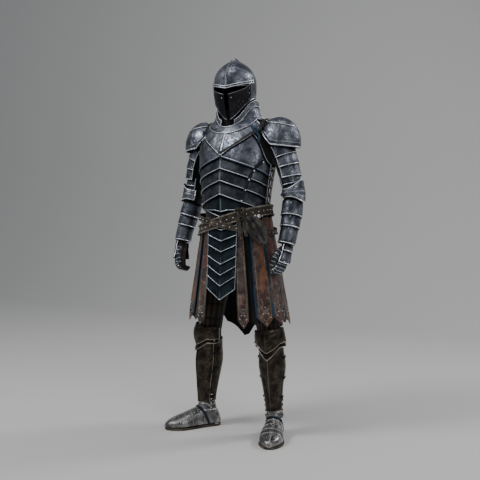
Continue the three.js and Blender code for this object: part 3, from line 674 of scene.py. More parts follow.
def patches(tree, vector, size, low, high, detail=3.0, rough=0.55):
    """Noise with patches of the given size in millimetres, stretched so that low and high come out as 0 and
    1."""
    looks = {"Vector": vector, "Scale": 1000 / size, "Detail": detail, "Roughness": rough}
    noise = add(tree, "TexNoise", looks)
    spread = {"Value": noise.outputs[0], "From Min": low, "From Max": high}
    return add(tree, "MapRange", spread, clamp=True).outputs[0]


def by_wear_and_painted_light(tree, start, end, most=1.0):
    """A share that follows the piece's value for wear and painted light: none at start, and most at end."""
    wear = add(tree, "Attribute", {}, attribute_name="wear").outputs["Fac"]
    spread = {"Value": wear, "From Min": start, "From Max": end, "To Max": most}
    return add(tree, "MapRange", spread, clamp=True).outputs[0]


def coated(tree, base, *coats):
    """Coats of colour over a base colour. Each is the share of it that shows, and its hex value."""
    base = colour(base)
    for share, code in coats:
        coat = {0: share, UNDER: base, OVER: colour(code)}
        base = add(tree, "Mix", coat, data_type="RGBA").outputs[MIXED]
    return base


def steel(name, body, shade, worn_and_highlight, grime_and_shade, rough=(0.32, 0.6), etch=0.5, clouds=44):
    """Mild steel plate, raised by hammer, ground, and left to darken: slow cloudy patches where it was
    planished, an etched scroll that only just shows, rubbed bright along rolled edges with a painted highlight
    there and on raised ridges, and brown-black painted shade in grooves, sunk relief, inside and under laps."""
    m, tree, shader = material(name)
    at = add(tree, "TexCoord", {}).outputs["Object"]
    cloud = patches(tree, at, clouds, 0.38, 0.62, detail=5)
    fleck = patches(tree, at, 10, 0.4, 0.68, detail=4)
    flecked = add(tree, "Math", {0: fleck, 1: 0.62}, operation="MULTIPLY").outputs[0]
    vine = add(tree, "TexNoise", {"Vector": at, "Scale": 1000 / 34, "Detail": 0.0}).outputs[0]
    turns = add(tree, "Math", {0: vine, 1: 9.0}, operation="MULTIPLY").outputs[0]
    turns = add(tree, "Math", {0: turns, 1: 0.5}, operation="PINGPONG").outputs[0]
    line = add(tree, "MapRange", {"Value": turns, "From Max": 0.11, "To Min": etch, "To Max": 0.0}).outputs[0]
    in_places = patches(tree, at, 26, 0.42, 0.5, detail=1)
    line = add(tree, "Math", {0: line, 1: in_places}, operation="MULTIPLY").outputs[0]
    # the last two coats: rubbed edges with a painted highlight where the carried value is high, painted shade
    # where it is low
    base = coated(tree, shade, (cloud, body), (flecked, shade), (line, grime_and_shade),
                  (by_wear_and_painted_light(tree, 0.6, 0.97), worn_and_highlight), (by_wear_and_painted_light(tree, *PAINTED_SHADE_AT), grime_and_shade))
    tree.links.new(base, shader.inputs["Base Color"])
    shader.inputs["Metallic"].default_value = 1.0
    gloss = add(tree, "MapRange", {"Value": fleck, "To Min": rough[0], "To Max": rough[1]})
    tree.links.new(gloss.outputs[0], shader.inputs["Roughness"])
    hammer = patches(tree, at, 34, 0.3, 0.7, detail=1)
    dent = add(tree, "Bump", {"Height": hammer, "Strength": 0.5, "Distance": 0.0025}).outputs[0]
    etched = {"Height": line, "Strength": 0.7, "Distance": 0.0008, "Normal": dent}
    etched = add(tree, "Bump", etched, invert=True).outputs[0]
    pit = add(tree, "Bump", {"Height": fleck, "Strength": 0.4, "Distance": 0.0007, "Normal": etched})
    tree.links.new(pit.outputs[0], shader.inputs["Normal"])
    return m


def leather(name, body, pale, dark, blush=None, rough=0.68):
    """Vegetable-tanned cowhide, waxed and handled: pebbled grain about 3 mm across, long soft creases, colour
    that has gone in patches, rubbed paler with a painted highlight along the cut edges and raised tooling, and
    painted darker as shade in the groove just inside the edges, in sunk tooling, inside and under laps."""
    m, tree, shader = material(name)
    at = add(tree, "TexCoord", {}).outputs["Object"]
    coats = [(patches(tree, at, 70, 0.36, 0.64), body), (patches(tree, at, 24, 0.52, 0.76, detail=5), pale)]
    if blush:
        tall = add(tree, "Mapping", {"Vector": at, "Scale": (1, 1, 0.4), "Location": (3, 1, 2)}).outputs[0]
        coats.append((patches(tree, tall, 46, 0.5, 0.68), blush))
    cells = add(tree, "TexVoronoi", {"Vector": at, "Scale": 1000 / 7.0}, feature="DISTANCE_TO_EDGE").outputs[0]
    line = add(tree, "MapRange", {"Value": cells, "From Max": 0.09, "To Min": 0.35, "To Max": 0.0}).outputs[0]
    # painted shade where the carried value is low, and rubbed paler edges with a painted highlight where it is
    # high
    coats += [(line, dark), (by_wear_and_painted_light(tree, *PAINTED_SHADE_AT), "14100d"), (by_wear_and_painted_light(tree, 0.6, 1.0, 0.55), pale)]
    tree.links.new(coated(tree, dark, *coats), shader.inputs["Base Color"])
    shader.inputs["Roughness"].default_value = rough
    shader.inputs["Specular IOR Level"].default_value = 0.35
    grain = add(tree, "TexVoronoi", {"Vector": at, "Scale": 1000 / 3.0}, feature="SMOOTH_F1").outputs[0]
    fine = add(tree, "Bump", {"Height": grain, "Strength": 0.45, "Distance": 0.0007}).outputs[0]
    crease = patches(tree, at, 20, 0.3, 0.7, detail=4)
    both = add(tree, "Bump", {"Height": crease, "Strength": 0.5, "Distance": 0.002, "Normal": fine})
    tree.links.new(both.outputs[0], shader.inputs["Normal"])
    return m


THREAD = 2.6  # a stout 1.3 mm yarn, drawn twice as coarse so that the weave shows


def woven(name, body, dark):
    """Heavy wool or canvas in plain weave: two sets of threads that pass over and under, a dull surface with
    a little nap, washed out in patches, and painted darker as shade in sunk folds, quilting channels and
    inside."""
    m, tree, shader = material(name)
    place = add(tree, "UVMap", {}, uv_map="place").outputs[0]
    at = add(tree, "TexCoord", {}).outputs["Object"]
    thread = {"Vector": place, "Scale": 1000 / THREAD / 20 * np.pi, "Distortion": 0.6, "Detail": 1.0}
    warp, weft = (add(tree, "TexWave", thread, bands_direction=way).outputs[1] for way in "XY")
    weave = add(tree, "Math", {0: warp, 1: weft}, operation="MULTIPLY").outputs[0]
    between = add(tree, "MapRange", {"Value": weave, "To Min": 0.4, "To Max": 0.0}).outputs[0]
    # the last coat is painted shade, near black, where the carried value is low
    base = coated(tree, dark, (patches(tree, at, 85, 0.35, 0.68), body), (between, dark),
                  (by_wear_and_painted_light(tree, *PAINTED_SHADE_AT), "050505"))
    tree.links.new(base, shader.inputs["Base Color"])
    shader.inputs["Roughness"].default_value = 0.92
    shader.inputs["Sheen Weight"].default_value = 0.25
    shader.inputs["Specular IOR Level"].default_value = 0.2
    bump = add(tree, "Bump", {"Height": weave, "Strength": 0.5, "Distance": 0.0008})
    tree.links.new(bump.outputs[0], shader.inputs["Normal"])
    return m


PLATE = steel("polished_mild_steel", "8e919c", "4a4e58", "dfe2ea", "17181b", etch=0.4)
LAMES = steel("darkened_mild_steel", "666b72", "363a40", "c9ced8", "0e0f11", rough=(0.36, 0.6), etch=0.4)
CHEEK = steel("oil_blackened_steel", "37363b", "29292d", "9fa1a8", "0c0c0e", rough=(0.38, 0.54), etch=0.12)
BLUED = steel("blued_mild_steel", "3d4a50", "262e33", "b9c3cd", "0b0e10", rough=(0.36, 0.58), etch=0.55)
LEGS = steel(
    "browned_mild_steel", "564e44", "2c2824", "a8a297", "100e0c", rough=(0.3, 0.56), etch=0.7, clouds=34
)
BOOTS = steel(
    "ground_mild_steel", "b2b0ae", "5e5e60", "eeeeef", "1c1b19", rough=(0.26, 0.46), etch=0.55, clouds=40
)
STUDS = steel("filed_steel_studs", "a3a4a8", "6b6c70", "f0f2f6", "242424", etch=0.0)
BELTS = leather("waxed_belt_leather", "483d34", "776d60", "241e19", "5b5a56")
WELTS = leather("welted_boot_sole", "5d5347", "857a69", "2c2620")
STRIPS = leather("russet_skirt_leather", "664c41", "937768", "2e2424", "8a5a3c")
STRIPS_WORN = leather("scuffed_skirt_leather", "62514a", "988378", "302727", "744440")
GLOVES = leather("oiled_glove_leather", "2d2925", "4d4741", "141210")
STRAPS = leather("black_strap_leather", "1b1d23", "454953", "0b0c10")
DARK = woven("black_wool", "1b1c1f", "0a0b0d")
BROWN = woven("brown_quilted_canvas", "4a3c30", "231d18")
TRIM = woven("blue_wool_trim", "33506a", "1c2e42")
CORDING = leather("natural_rolled_edge", "827c6f", "aaa497", "4c4740", rough=0.6)


# ---------------------------------------------------------------- helmet
CHEEK_END, SLIT_END, SLOT_HALF = 70, 64, 6  # degrees from the front
SLIT_HIGH = 27
SKULL_TOP = HELM["z"][-1]
BROW_RIVETS = np.array([-70, -42, -14, 14, 42, 70])


def brow_line(a):
    """The brow band's lower edge: it rises evenly from the front to 80 degrees, then runs level."""
    return 146 + 32 * np.minimum(from_front(a) / 80, 1)


def slit_line(a):
    """The eye slit's lower edge: half an oval below the brow band."""
    return brow_line(a) - SLIT_HIGH * np.sqrt(np.maximum(0.004, 1 - (from_front(a) / SLIT_END) ** 2))


def jaw_line(a):
    """The cheeks' lower edge: a bell that comes to a point in front."""
    return 108 * (1 - hill(from_front(a), 0, 52))


def nape(a):
    """The helmet's lower edge: the jaw line, lower behind."""
    return jaw_line(a) - 20 * smooth(96, 140, from_front(a))


def helmet():
    """A pointed skull on a riveted brow band, a neck plate behind, and two cheek plates that leave an eye
    slit and a slot down the face."""

    def comb(a, t, d):
        """A low ridge in front with a groove beside it, and another ridge behind."""
        front = 2.6 * hill(a, 0, 2.2) + 2.6 * hill(a, 360, 2.2) - 1.2 * hill(a, 5.5, 2.0)
        return front + 2.4 * hill(from_front(a), 180, 4)

    def tucked(a):
        """The neck plate's hidden edge, which reaches down into the collar."""
        return nape(a) - 20 * smooth(92, 126, from_front(a))

    crown = np.concatenate([[0, 0.002, 0.006], np.linspace(0.012, 0.16, 26), np.linspace(0.18, 1, 44)])
    skull = plate(helm, (0, 360), (SKULL_TOP, lambda a: brow_line(a) + 10), count=(150, 0), closed=True,
                  rims="", rows=crown, relief=comb)
    put("skull", skull, PLATE, "plate_steel", "helm_skull", merge=True)
    band = plate(helm, (-80, 80), (lambda a: brow_line(a) + 14, brow_line), 4.8, count=(80, 3), rim=2.4)
    rivets = studs_on(helm, BROW_RIVETS, brow_line(BROW_RIVETS) + 7, 5.2, 2.6)
    put("brow_band", [band] + rivets, PLATE, "plate_steel", "helm_brow")
    for name, on in SIDES.items():
        k = on["side"]
        cheek = plate(helm, (k * SLOT_HALF, k * CHEEK_END), (slit_line, jaw_line), 2.6, count=(34, 26),
                      rims="tb", rim=1.5)
        breaths = [(k * a, 60 + 13 * i) for i in range(3) for a in (34 + 5 * (i % 2), 46 + 5 * (i % 2))]
        rivets = studs_on(helm, k * 14.0, 104, 3.2, 4.2)
        rivets += studs_on(helm, k * 64.0, np.array([128.0, 150.0]), 3.2, 3.0)
        rivets += studs_on(helm, *np.array(breaths, float).T, 2.4, 1.6, 0.3)
        put(f"cheek_{name}", [cheek] + rivets, CHEEK, "blued_steel", f"helm_cheek_{name}")
    behind = plate(helm, (CHEEK_END - 6, 366 - CHEEK_END), (lambda a: brow_line(a) + 9, tucked), -0.3,
                   count=(90, 18), rims="blr", relief=lambda a, t, d: 1.2 * hill(t, 0.86, 0.03))
    put("neck_plate", behind, PLATE, "plate_steel", "helm_back")


# ---------------------------------------------------------------- neck and trunk
COLLAR_OPEN, FLANK = 15, 86  # degrees from the front
CROSS_AT = 1382  # where the seams of the breast cross
BELT_LIFT = 18
LAME_ENDS = ((1380, 1319), (1333, 1261), (1275, 1196))  # upper and lower edge in front
TIES_AT = (1316, 1276, 1236, 1196, 1156)


def cross_arm(a):
    """The crossing seam: it rises evenly from the middle."""
    return CROSS_AT + 2.2 * np.abs(a)


def armhole(a):
    """Level between the shoulders, and cut down by a bell at each arm."""
    return 1488 - 150 * (1 - hill(np.maximum(0, np.abs(a) - 40), 0, 24))


def gorget_top(a):
    """The gorget's upper edge: a bell cut out in front."""
    return 1572 - 56 * hill(from_front(a), 0, 36)


def gorget_edge(a):
    """The gorget's lower edge: highest at the shoulders by the square of the sine."""
    return 1481 + 80 * np.sin(rad(a)) ** 2


def neck():
    """A collar of two lames that follows the edge of the helmet, and a gorget plate that comes to a point."""

    def rim(a):
        """The collar's upper edge: a little under the helmet's, with a bell at each side."""
        return HELM_AT["at"][2] + nape(a) - 12 + 9 * hill(from_front(a), 70, 30)

    def foot(a):
        """The collar's lower edge, tucked under the gorget's top."""
        return gorget_top(a) - 7

    around = (COLLAR_OPEN, 360 - COLLAR_OPEN)
    upper = plate(collar, around, (rim, lambda a: np.maximum(foot(a), rim(a) - 29)), 2.4, count=(120, 5),
                  rim=2.0)
    lower = plate(collar, around, (lambda a: np.maximum(foot(a) + 6, rim(a) - 23), foot), 0.2, count=(120, 8),
                  rims="tlr", rim=1.6, lap_shadow=7)
    put("collar", [upper, lower], PLATE, "plate_steel", "gorget_collar")
    put("gorget", plate(
        torso, (0, 360), (gorget_top, gorget_edge), 20.4, count=(220, 18), rims="tb", closed=True, rim=2.0,
        relief=lambda a, t, d: -0.8 * hill(d, 9, 1.5),
    ), PLATE, "plate_steel", "gorget_plate")


def falling(height, slope=1.05):
    """An edge that falls evenly to both sides of the front."""
    return lambda a: height - slope * np.abs(a)


def breast():
    """A breast of three plates whose seams cross, and five lames below it that lap downwards, each with a
    keel. One plate behind. A strap and a line of cloth binding follow the seams."""

    def keel(a, t, d):
        """A bell along the middle."""
        return 1.7 * hill(a, 0, 1.6)

    put("breast_upper", plate(
        torso, (-62, 62), (lambda a: gorget_edge(a) + 13, lambda a: cross_arm(a) - 3), 16.4, count=(120, 18),
        rims="blr", relief=lambda a, t, d: keel(a, t, d) - 0.9 * hill(d, 14, 1.4),
    ), PLATE, "plate_steel", "breast_top")
    for name, on in SIDES.items():
        k = on["side"]
        put(f"breast_side_{name}", plate(
            torso, (k * 0.5, k * FLANK),
            (lambda a: np.minimum(cross_arm(a) + 12, armhole(a)), falling(CROSS_AT - 6, 1.1)),
            12.4, count=(80, 22), rims="tbr", lap_shadow=20,
        ), PLATE, "plate_steel", f"breast_{name}")
    for i, (top, bottom) in enumerate(LAME_ENDS):
        put(f"plackart_lame_{i + 1}.shown", plate(
            torso, (-FLANK, FLANK), (falling(top), falling(bottom)), lambda a, t: 8 + 5 * t, count=(150, 9),
            rims="blr", lap_shadow=21 if i else 13, relief=keel,
        ), LAMES, "plate_steel", f"plackart_lame_{i + 1}")
    put("belly_plate", plate(
        torso, (-FLANK, FLANK), (falling(1210), lambda a: 1111 + 0.6 * np.minimum(np.abs(a), 14)),
        7.2, count=(150, 14), rims="blr", lap_shadow=21, relief=keel,
    ), BLUED, "blued_steel", "plackart_belly")
    put("fauld_lame", plate(
        torso, (-FLANK, FLANK), (1128, lambda a: 1084 + 0.9 * np.minimum(np.abs(a), 40)), 4.6, count=(150, 6),
        rims="blr", lap_shadow=22,
    ), BLUED, "blued_steel", "fauld")
    put("back", plate(
        torso, (FLANK + 6, 354 - FLANK), (lambda a: armhole(194 - from_front(a)) - 10, 1116), 10,
        count=(110, 40),
        relief=lambda a, t, d: 1.2 * hill(from_front(a), 180, 3) + 0.8 * hill(from_front(a), 146, 2),
    ), PLATE, "plate_steel", "back_plate")

    flank = [(64, 1356), (51, 1314), (45, 1272), (41, 1224), (36, 1172)]
    put("flank_strap", strap_on(torso, flank, 17.4, 15, 2.4, wear=0.62), STRAPS, "belt_leather")
    across, down = np.array(flank, float).T
    put("flank_strap_studs", studs_on(torso, across, down - 7, 19.6, 4.4), STUDS, "plate_steel")
    seam = [(a, float(cross_arm(a)) + 3) for a in (-2, 10, 21, 32, 43, 52)]
    put("breast_strap", [strap_on(torso, seam, 18.8, 11, 3.0)], GLOVES, "belt_leather")
    binding = [[(k * a, 1375 - 1.1 * a) for a in (0, 12, 30, 48, 66, 82)] for k in (1, -1)]
    put("breast_binding", [strap_on(torso, line, 14.2, 5, 2.6) for line in binding], TRIM, "dark_cloth")
    knots = knot(torso, (50, 1490), 22, 7.5, [
        [(50, 1490), (45, 1512), (42, 1532)], [(50, 1490), (54, 1462), (53, 1436)],
    ]) + knot(torso, (-52, 1494), 24, 6.5, [[(-52, 1494), (-55, 1464), (-54, 1434)]])
    put("breast_knots", knots, TRIM, "dark_cloth")
    ties, tie_studs = [], []
    for k in (1, -1):
        for z in TIES_AT:
            ties.append(strap_on(torso, [(k * 80, z + 5), (k * 88, z), (k * 98, z - 9)], 13, 15, 2.6))
            tie_studs += studs_on(torso, k * np.array([84.0, 95.0]), z + 2, 16.5, 3.0)
    put("side_ties", ties, BELTS, "belt_leather")
    put("side_tie_studs", tie_studs, STUDS, "plate_steel")


def knot(form, place, lift, size, tails):
    """A trefoil of cord on a form, with flat tails."""
    a, s = map(float, place)
    n = form.normal(a, s)
    side, up = unit(np.cross(n, (0, 0, 1))), np.array([0, 0, 1.0])
    t = np.linspace(0, 2 * np.pi, 80, endpoint=False)[:, None]
    lobes = (np.sin(t) + 2 * np.sin(2 * t)) * side * 0.6 + (np.cos(t) - 2 * np.cos(2 * t)) * up * 0.6
    loop = form.lifted(a, s, float(lift)) + size * (lobes - 0.7 * np.sin(3 * t) * n)
    cord = swept(loop, n, ring(10, 0.62 * size), closed=True, wear=0.55)
    return [cord] + [strap_on(form, line, lift - 3, 1.5 * size, 2.4) for line in tails]


def rumpled(a, s, high, wave):
    """Soft folds: three slow sines that cross each other."""
    return high * (np.sin(a / 11 + s / wave) + 0.7 * np.sin(a / 7 - s / (wave * 0.61) + 1.3)
                   + 0.5 * np.sin(a / 17 + s / (wave * 0.37) + 2.1)) / 2.2


def doublet():
    """The arming doublet: a padded trunk in two halves, with a collar that stands in the helmet, and two
    sleeves that pull into creases inside the elbows."""
    for name, (low, high) in {"front": (-89.9, 89.9), "back": (90.1, 269.9)}.items():
        half = put(f"arming_doublet_{name}", plate(
            torso, (low, high), (lambda a: 1614 + 26 * smooth(24, 70, from_front(a)), 1022), -0.4, CLOTH,
            count=(90, 90), rims="", wander=0, relief=lambda a, t, d: rumpled(a, 600 * t, 0.9, 19) - 0.5,
        ), DARK, "dark_cloth", f"doublet_{name}")

    def creased(a, t, d):
        return rumpled(np.abs(a - 180), 504 * t, 1.6, 9) * (0.35 + hill(t, 0.55, 0.3)) - 0.6

    for name, on in SIDES.items():
        sleeve = put(f"arming_sleeve_{name}", plate(
            limb(on["arm"], on["side"]), (0, 360), (34, 538), 0, CLOTH, count=(90, 120), rims="", closed=True,
            wander=0, relief=creased,
        ), DARK, "dark_cloth", f"sleeve_{name}")


# ---------------------------------------------------------------- shoulders, arms and hands
SHOULDER_AT = 1446
SHOULDERS = {"left": (217, 0), "right": (206, 12)}  # each dome's middle: out from the suit's middle, and back
PAULDRON = (112, 97, 124, 6)  # the dome's half width, depth and height, and degrees of lean


def lames(form, across, ends, shares_at, base, rise, count, tuck=9, **how):
    """A run of lames on one limb: each starts under the one above, stands out by rise at its lower edge."""
    top, bottom = ends
    edges = [0, *shares_at]
    return [
        plate(form, across, (top + (bottom - top) * a - (tuck if i else 0), top + (bottom - top) * b),
              lambda p, t: base + rise * t + called(how.get("flare", 0), p, a + (b - a) * t),
              count=count, rims=how.get("rims", "blr"), closed=how.get("closed", False),
              lap_shadow=tuck + 4 if i else 6, relief=how.get("relief"))
        for i, (a, b) in enumerate(zip(edges, edges[1:]))
    ]


def shoulder(name):
    """A domed pauldron with ridges and slanted grooves, a small cap over its top, and the leather that
    carries it: an arch over the shoulder, closer to it in front and behind than on top."""
    side = SIDES[name]["side"]
    x, y = SHOULDERS[name]
    over = dome(side, x, y, SHOULDER_AT, *PAULDRON)
    upper_rows = [0, 0.004, 0.012]
    hem_rows = 1 - np.array([0.055, 0.045, 0.036, 0.028, 0.021, 0.015, 0.009, 0.004, 0])

    def lower(a):
        """Level over the shoulder, and shorter at both ends."""
        return 97 - 50 * np.maximum(0, np.abs(a - 90) - 88) / 64

    def seams(a, t, d):
        """Two ridges and a rim as bells, and two slanted grooves."""
        ridge = hill(a, 18, 2.2) + hill(a, 152, 2.2)
        groove = hill(a - 62 * (1 - t), 0, 1.6) + hill(a - 180 + 62 * (1 - t), 0, 1.6)
        return 1.5 * ridge * smooth(0.16, 0.24, t) + 1.8 * hill(t, 0.9, 0.012) - 1.1 * groove

    def arch(turn, across):
        """A circle over the shoulder, flattened away from its top."""
        far = 104 + 14 * (1 - smooth(8, 50, np.abs(turn)))
        return xyz(side * across, y - 8 + far * np.sin(rad(turn)), SHOULDER_AT + far * np.cos(rad(turn)))

    put(f"pauldron_{name}.shown", plate(
        over, (-62, 242), (0, lower), count=(100, 0), rims="b", rim=3.4, relief=seams,
        rows=np.concatenate([upper_rows, np.linspace(0.02, 0.93, 52), hem_rows]),
    ), PLATE, "plate_steel", f"pauldron_{name}", merge=True)
    put(f"pauldron_cap_{name}", plate(
        over, (-60, 240), (3, lambda a: 42 + 7 * hill(a, 90, 70)), 2.6, count=(90, 12), rims="blr", rim=2.0,
        relief=lambda a, t, d: 1.2 * hill(a, 18, 2.2),
    ), PLATE, "plate_steel")
    put(f"shoulder_leather_{name}", plate(
        Form(side, arch), (-66, 66), (x - 68, x - 46), 0, LEATHER, count=(60, 3), rim=1.2, wander=0,
    ), GLOVES, "belt_leather", f"shoulder_strap_{name}")


def arms():
    """On each arm a pauldron, three lames, a winged couter that cups the elbow over two lames of its own, and
    a vambrace of three bands."""

    def wing(a):
        """A bell at the elbow's outer side."""
        return hill(a, 78, 40)

    def cup(a, t):
        """Half a sine wave between the edges, and a wing that flares to both."""
        return 10 + 11 * np.sin(np.pi * t) + 16 * wing(a) * (2 * t - 1) ** 2

    for name, on in SIDES.items():
        shoulder(name)
        form = limb(on["arm"], on["side"])
        upper = lames(form, (-8, 208), (62, 222), (0.36, 0.66, 1), 11, 5, (70, 7))
        upper += studs_on(form, np.repeat([2.0, 100.0], 3), np.tile([107.0, 153.0, 208.0], 2), 17.5, 2.6)
        put(f"upper_arm_lames_{name}", upper, PLATE, "plate_steel", f"rerebrace_{name}")
        put(f"elbow_lames_{name}", lames(form, (-26, 206), (212, 300), (0.5, 1), 5.6, 3.0, (60, 6), tuck=8),
            LAMES, "plate_steel")
        put(f"elbow_cup_{name}", plate(
            form, (-34, 214), (lambda a: 276 - 30 * wing(a), lambda a: 334 + 24 * wing(a)), cup,
            count=(90, 22), rim=3.0,
            relief=lambda a, t, d: 1.8 * hill(t, 0.5, 0.03) - 1.0 * hill(np.abs(t - 0.5), 0.16, 0.03),
        ), PLATE, "plate_steel", f"couter_{name}")
        bands = lames(form, (0, 360), (344, 556), (0.36, 0.62, 1), 7, 5, (90, 9), rims="b", closed=True,
                      tuck=10, flare=lambda a, t: 6 * np.maximum(0, t - 0.6))
        bands += studs_on(form, 20.0, np.array([366.0, 430.0, 486.0, 540.0]), 11.5, 2.6)
        put(f"forearm_bands_{name}", bands, PLATE, "plate_steel", f"vambrace_{name}")


def tube(rows, place, flat, count=20, sides=16):
    """An oval tube through the rows of a table, with rounded ends: the section shrinks as a quarter
    circle."""
    last = rows["step"][-1]
    steps = np.concatenate([np.full(3, 0.0), np.linspace(0, last, count), np.full(3, last)])
    r = read(rows, "step", steps)
    path = place(r)
    ahead = unit(np.gradient(path[3:-3], axis=0))
    cap = np.array([1.0, 0.8, 0.4])
    size = np.concatenate([np.sqrt(1 - cap**2) + 0.04, np.ones(count), np.sqrt(1 - cap[::-1] ** 2) + 0.04])
    path[:3] -= ahead[0] * (cap * r["deep"][0])[:, None]
    path[-3:] += ahead[-1] * (cap[::-1] * r["deep"][-1])[:, None]
    profile = ring(sides)[None] * np.stack([r["wide"] * size, r["deep"] * size], -1)[:, None]
    return swept(path, flat, profile)


def hands():
    """A leather glove with half-curled fingers, a cuffed plate over its back, and a row of small overlapping
    scales down each finger."""
    for name, on in SIDES.items():
        form = limb(on["arm"], on["side"])
        centre, down, ahead, outward = limb_frame(on["arm"], on["side"], 0, 560.0)
        flat = unit(np.cross(down, outward))

        def place(r, forward=0.0):
            """From a row of the table to a point in space."""
            ahead_by = np.asarray(r.get("forward", 0.0)) + forward + 0 * r["down"]
            return (centre + np.multiply.outer(r["down"], down) + np.multiply.outer(ahead_by, ahead)
                    + np.multiply.outer(r["out"], outward))

        glove = [tube(PALM, place, flat, 16, 24), tube(THUMB, place, outward)]
        scales = scale_row(THUMB, place, outward, ahead, 0.15, 1.8, 0.36, 78)
        for forward in FINGERS_AT:
            first = forward == max(FINGERS_AT)
            glove.append(tube(FINGER, lambda r: place(r, forward), flat, 22, 14))
            scales += scale_row(FINGER, lambda r: place(r, forward), flat, outward, 0.1, 2.5, 0.4,
                                86 if first else 62, 44 * side_of(flat, ahead) * first)
        put(f"glove_leather_{name}", glove, GLOVES, "glove_leather", f"glove_{name}")
        put(f"finger_scales_{name}", scales, LAMES, "plate_steel")
        back = lames(form, (6, 206), (562, 650), (0.34, 1), 7, 3.4, (60, 8), tuck=7,
                     flare=lambda p, t: 7 * t * hill(p, 96, 80),
                     relief=lambda a, t, d: -0.8 * hill(d, 8, 1.6))
        back += studs_on(form, np.array([42.0, 78.0, 114.0, 150.0]), 644.0, 16, 3.6)
        put(f"hand_plate_{name}", back, PLATE, "plate_steel", f"gauntlet_{name}")


def side_of(a, b):
    """1 where two directions lean the same way, and -1 where they don't."""
    return 1.0 if float(np.dot(a, b)) > 0 else -1.0


SCALE_SHADE_AND_HIGHLIGHT = (0.02, 0.16, 0.46, 0.6, 0.96)  # from the edge under the scale above, painted dark as its shade, to the free edge, rubbed and painted bright as a highlight


def scale_row(rows, place, flat, over, first, last, pitch, half, turn=0.0):
    """Small overlapping scales along the back of a finger: arcs that stand a little prouder towards its tip,
    painted dark as shade where they slide under the scale above, and rubbed bright with a painted highlight at
    their free edge."""
    parts = []
    for k in np.arange(first, last, pitch):
        r = read(rows, "step", np.linspace(k, k + 1.12 * pitch, 5))
        path = place(r)
        arc = rad(np.linspace(-half, half, 11) + turn)
        grow = np.linspace(0.4, 2.7, 5)[:, None]
        wide, deep = r["wide"][:, None] * 0.96 + grow, r["deep"][:, None] + grow
        outer = np.stack([wide * np.sin(arc), deep * np.cos(arc)], -1)
        inner = outer[:, ::-1] * 0.84
        if np.dot(np.cross(unit(path[-1] - path[0]), flat), over) < 0:
            outer, inner = outer * (1, -1), inner * (1, -1)
        parts.append(swept(path, flat, np.concatenate([outer, inner], 1), wear=SCALE_SHADE_AND_HIGHLIGHT))
    return parts


# ---------------------------------------------------------------- belts, apron and skirt
WAIST_WIDE, HIPS_WIDE = 46, 26
POUCH = table("""
step angle z    wide deep
0    40    1076 14    8
1    44    1064 34   13
2    51    1030 44   16
3    58     990 38   15
4    62     966 16    9
""")


def belt_top(a):
    """The waist belt's middle line: it rises to the wearer's left as a sine."""
    return 1090 + 56 * np.sin(rad(a))


def slant(a):
    """The hip belt's middle line: it falls to the wearer's left as a sine."""
    return 1050 - 40 * np.sin(rad(a))


def belts():
    """A waist belt with a corded edge that climbs to the left hip, a narrow belt that crosses it, a knot of
    leather where they meet, and a soft pouch."""
    put("belt_waist", plate(
        skirt, (0, 360), (belt_top, lambda a: belt_top(a) - WAIST_WIDE), BELT_LIFT, LEATHER, count=(240, 12),
        rims="tb", closed=True, rim=2.0, wander=0,
        relief=lambda a, t, d: 0.9 * np.sin(rad(a) * 60 + 9 * t) * hill(t, 0.55, 0.3),
    ), BELTS, "belt_leather", "waist_belt")
    a = np.linspace(0, 360, 721)[:-1]
    cords = []
    for z, radius in ((-3, 4.2), (-WAIST_WIDE, 3.0)):
        for phase in (0, 180):
            turn = rad(a * 44 + phase)
            path = skirt.lifted(a, belt_top(a) + z + 0.55 * radius * np.sin(turn),
                                BELT_LIFT + 1.6 + 0.55 * radius * np.cos(turn))
            cords.append(swept(path, (0, 0, 1), ring(6, 0.62 * radius), closed=True, wear=0.7))
    put("belt_cording", cords, CORDING, "belt_leather")
    put("belt_hips", plate(
        skirt, (0, 360), (lambda a: slant(a) + HIPS_WIDE / 2, lambda a: slant(a) - HIPS_WIDE / 2),
        BELT_LIFT + 6, LEATHER, count=(200, 4), rims="tb", closed=True, rim=1.4, wander=0,
    ), BELTS, "belt_leather", "hip_belt")
    at = np.arange(0, 360, 10.0)
    put("belt_studs", studs_on(skirt, at, belt_top(at) - 25, BELT_LIFT, 3.4)
        + studs_on(skirt, at + 5, slant(at + 5), BELT_LIFT + 6, 3.0), STUDS, "plate_steel")
    tails = [[(31 + k, 1106), (32 + 1.6 * k, 1074), (33 + 1.3 * k, 1036), (33 + 1.8 * k, 996)]
             for k in (-2.4, 2.6)]
    put("belt_knot", knot(skirt, (31, 1112), BELT_LIFT + 12, 11, tails), BELTS, "belt_leather")
    mount = studs_on(skirt, 59.0, 1090.0, BELT_LIFT + 2, 11, 0.4)
    mount += studs_on(skirt, np.array([53.0, 65.0]), 1092.0, BELT_LIFT + 1, 5, 0.6)
    put("belt_mount", mount, STUDS, "plate_steel")
    flat = unit(np.array([0.83, 0.56, 0.0]))
    body = tube(POUCH, lambda r: skirt.lifted(r["angle"], r["z"], BELT_LIFT + 26 + 0 * r["z"]), flat, 30, 36)
    pouch = put("pouch_body", body, BELTS, "belt_leather", "belt_pouch")
    straps = [[(a, 1086), (a + 5, 1050), (a + 10, 1006), (a + 14, 972)] for a in (37, 44)]
    put("pouch_straps", [strap_on(skirt, line, BELT_LIFT + 43, 11, 2.2) for line in straps], STRAPS,
        "belt_leather")


STRIP_TOP, STRIP_HALF = 1084, 100  # a strip's across runs from -100 to 100 whatever its width
STRIP_PLACES = ((27, 52, 556), (54, 74, 566), (79, 80, 572), (105, 82, 560), (131, 96, 562), (157, 96, 556))
EDGED = (1, 2, 3)  # the strips with a blue cloth edging
APRON_TOP, APRON_TIP, APRON_RISE = 1060, 687, 0.72
APRON_STEPS = (0, 0.1, 0.24, 0.38, 0.54, 0.68, 0.82, 1)


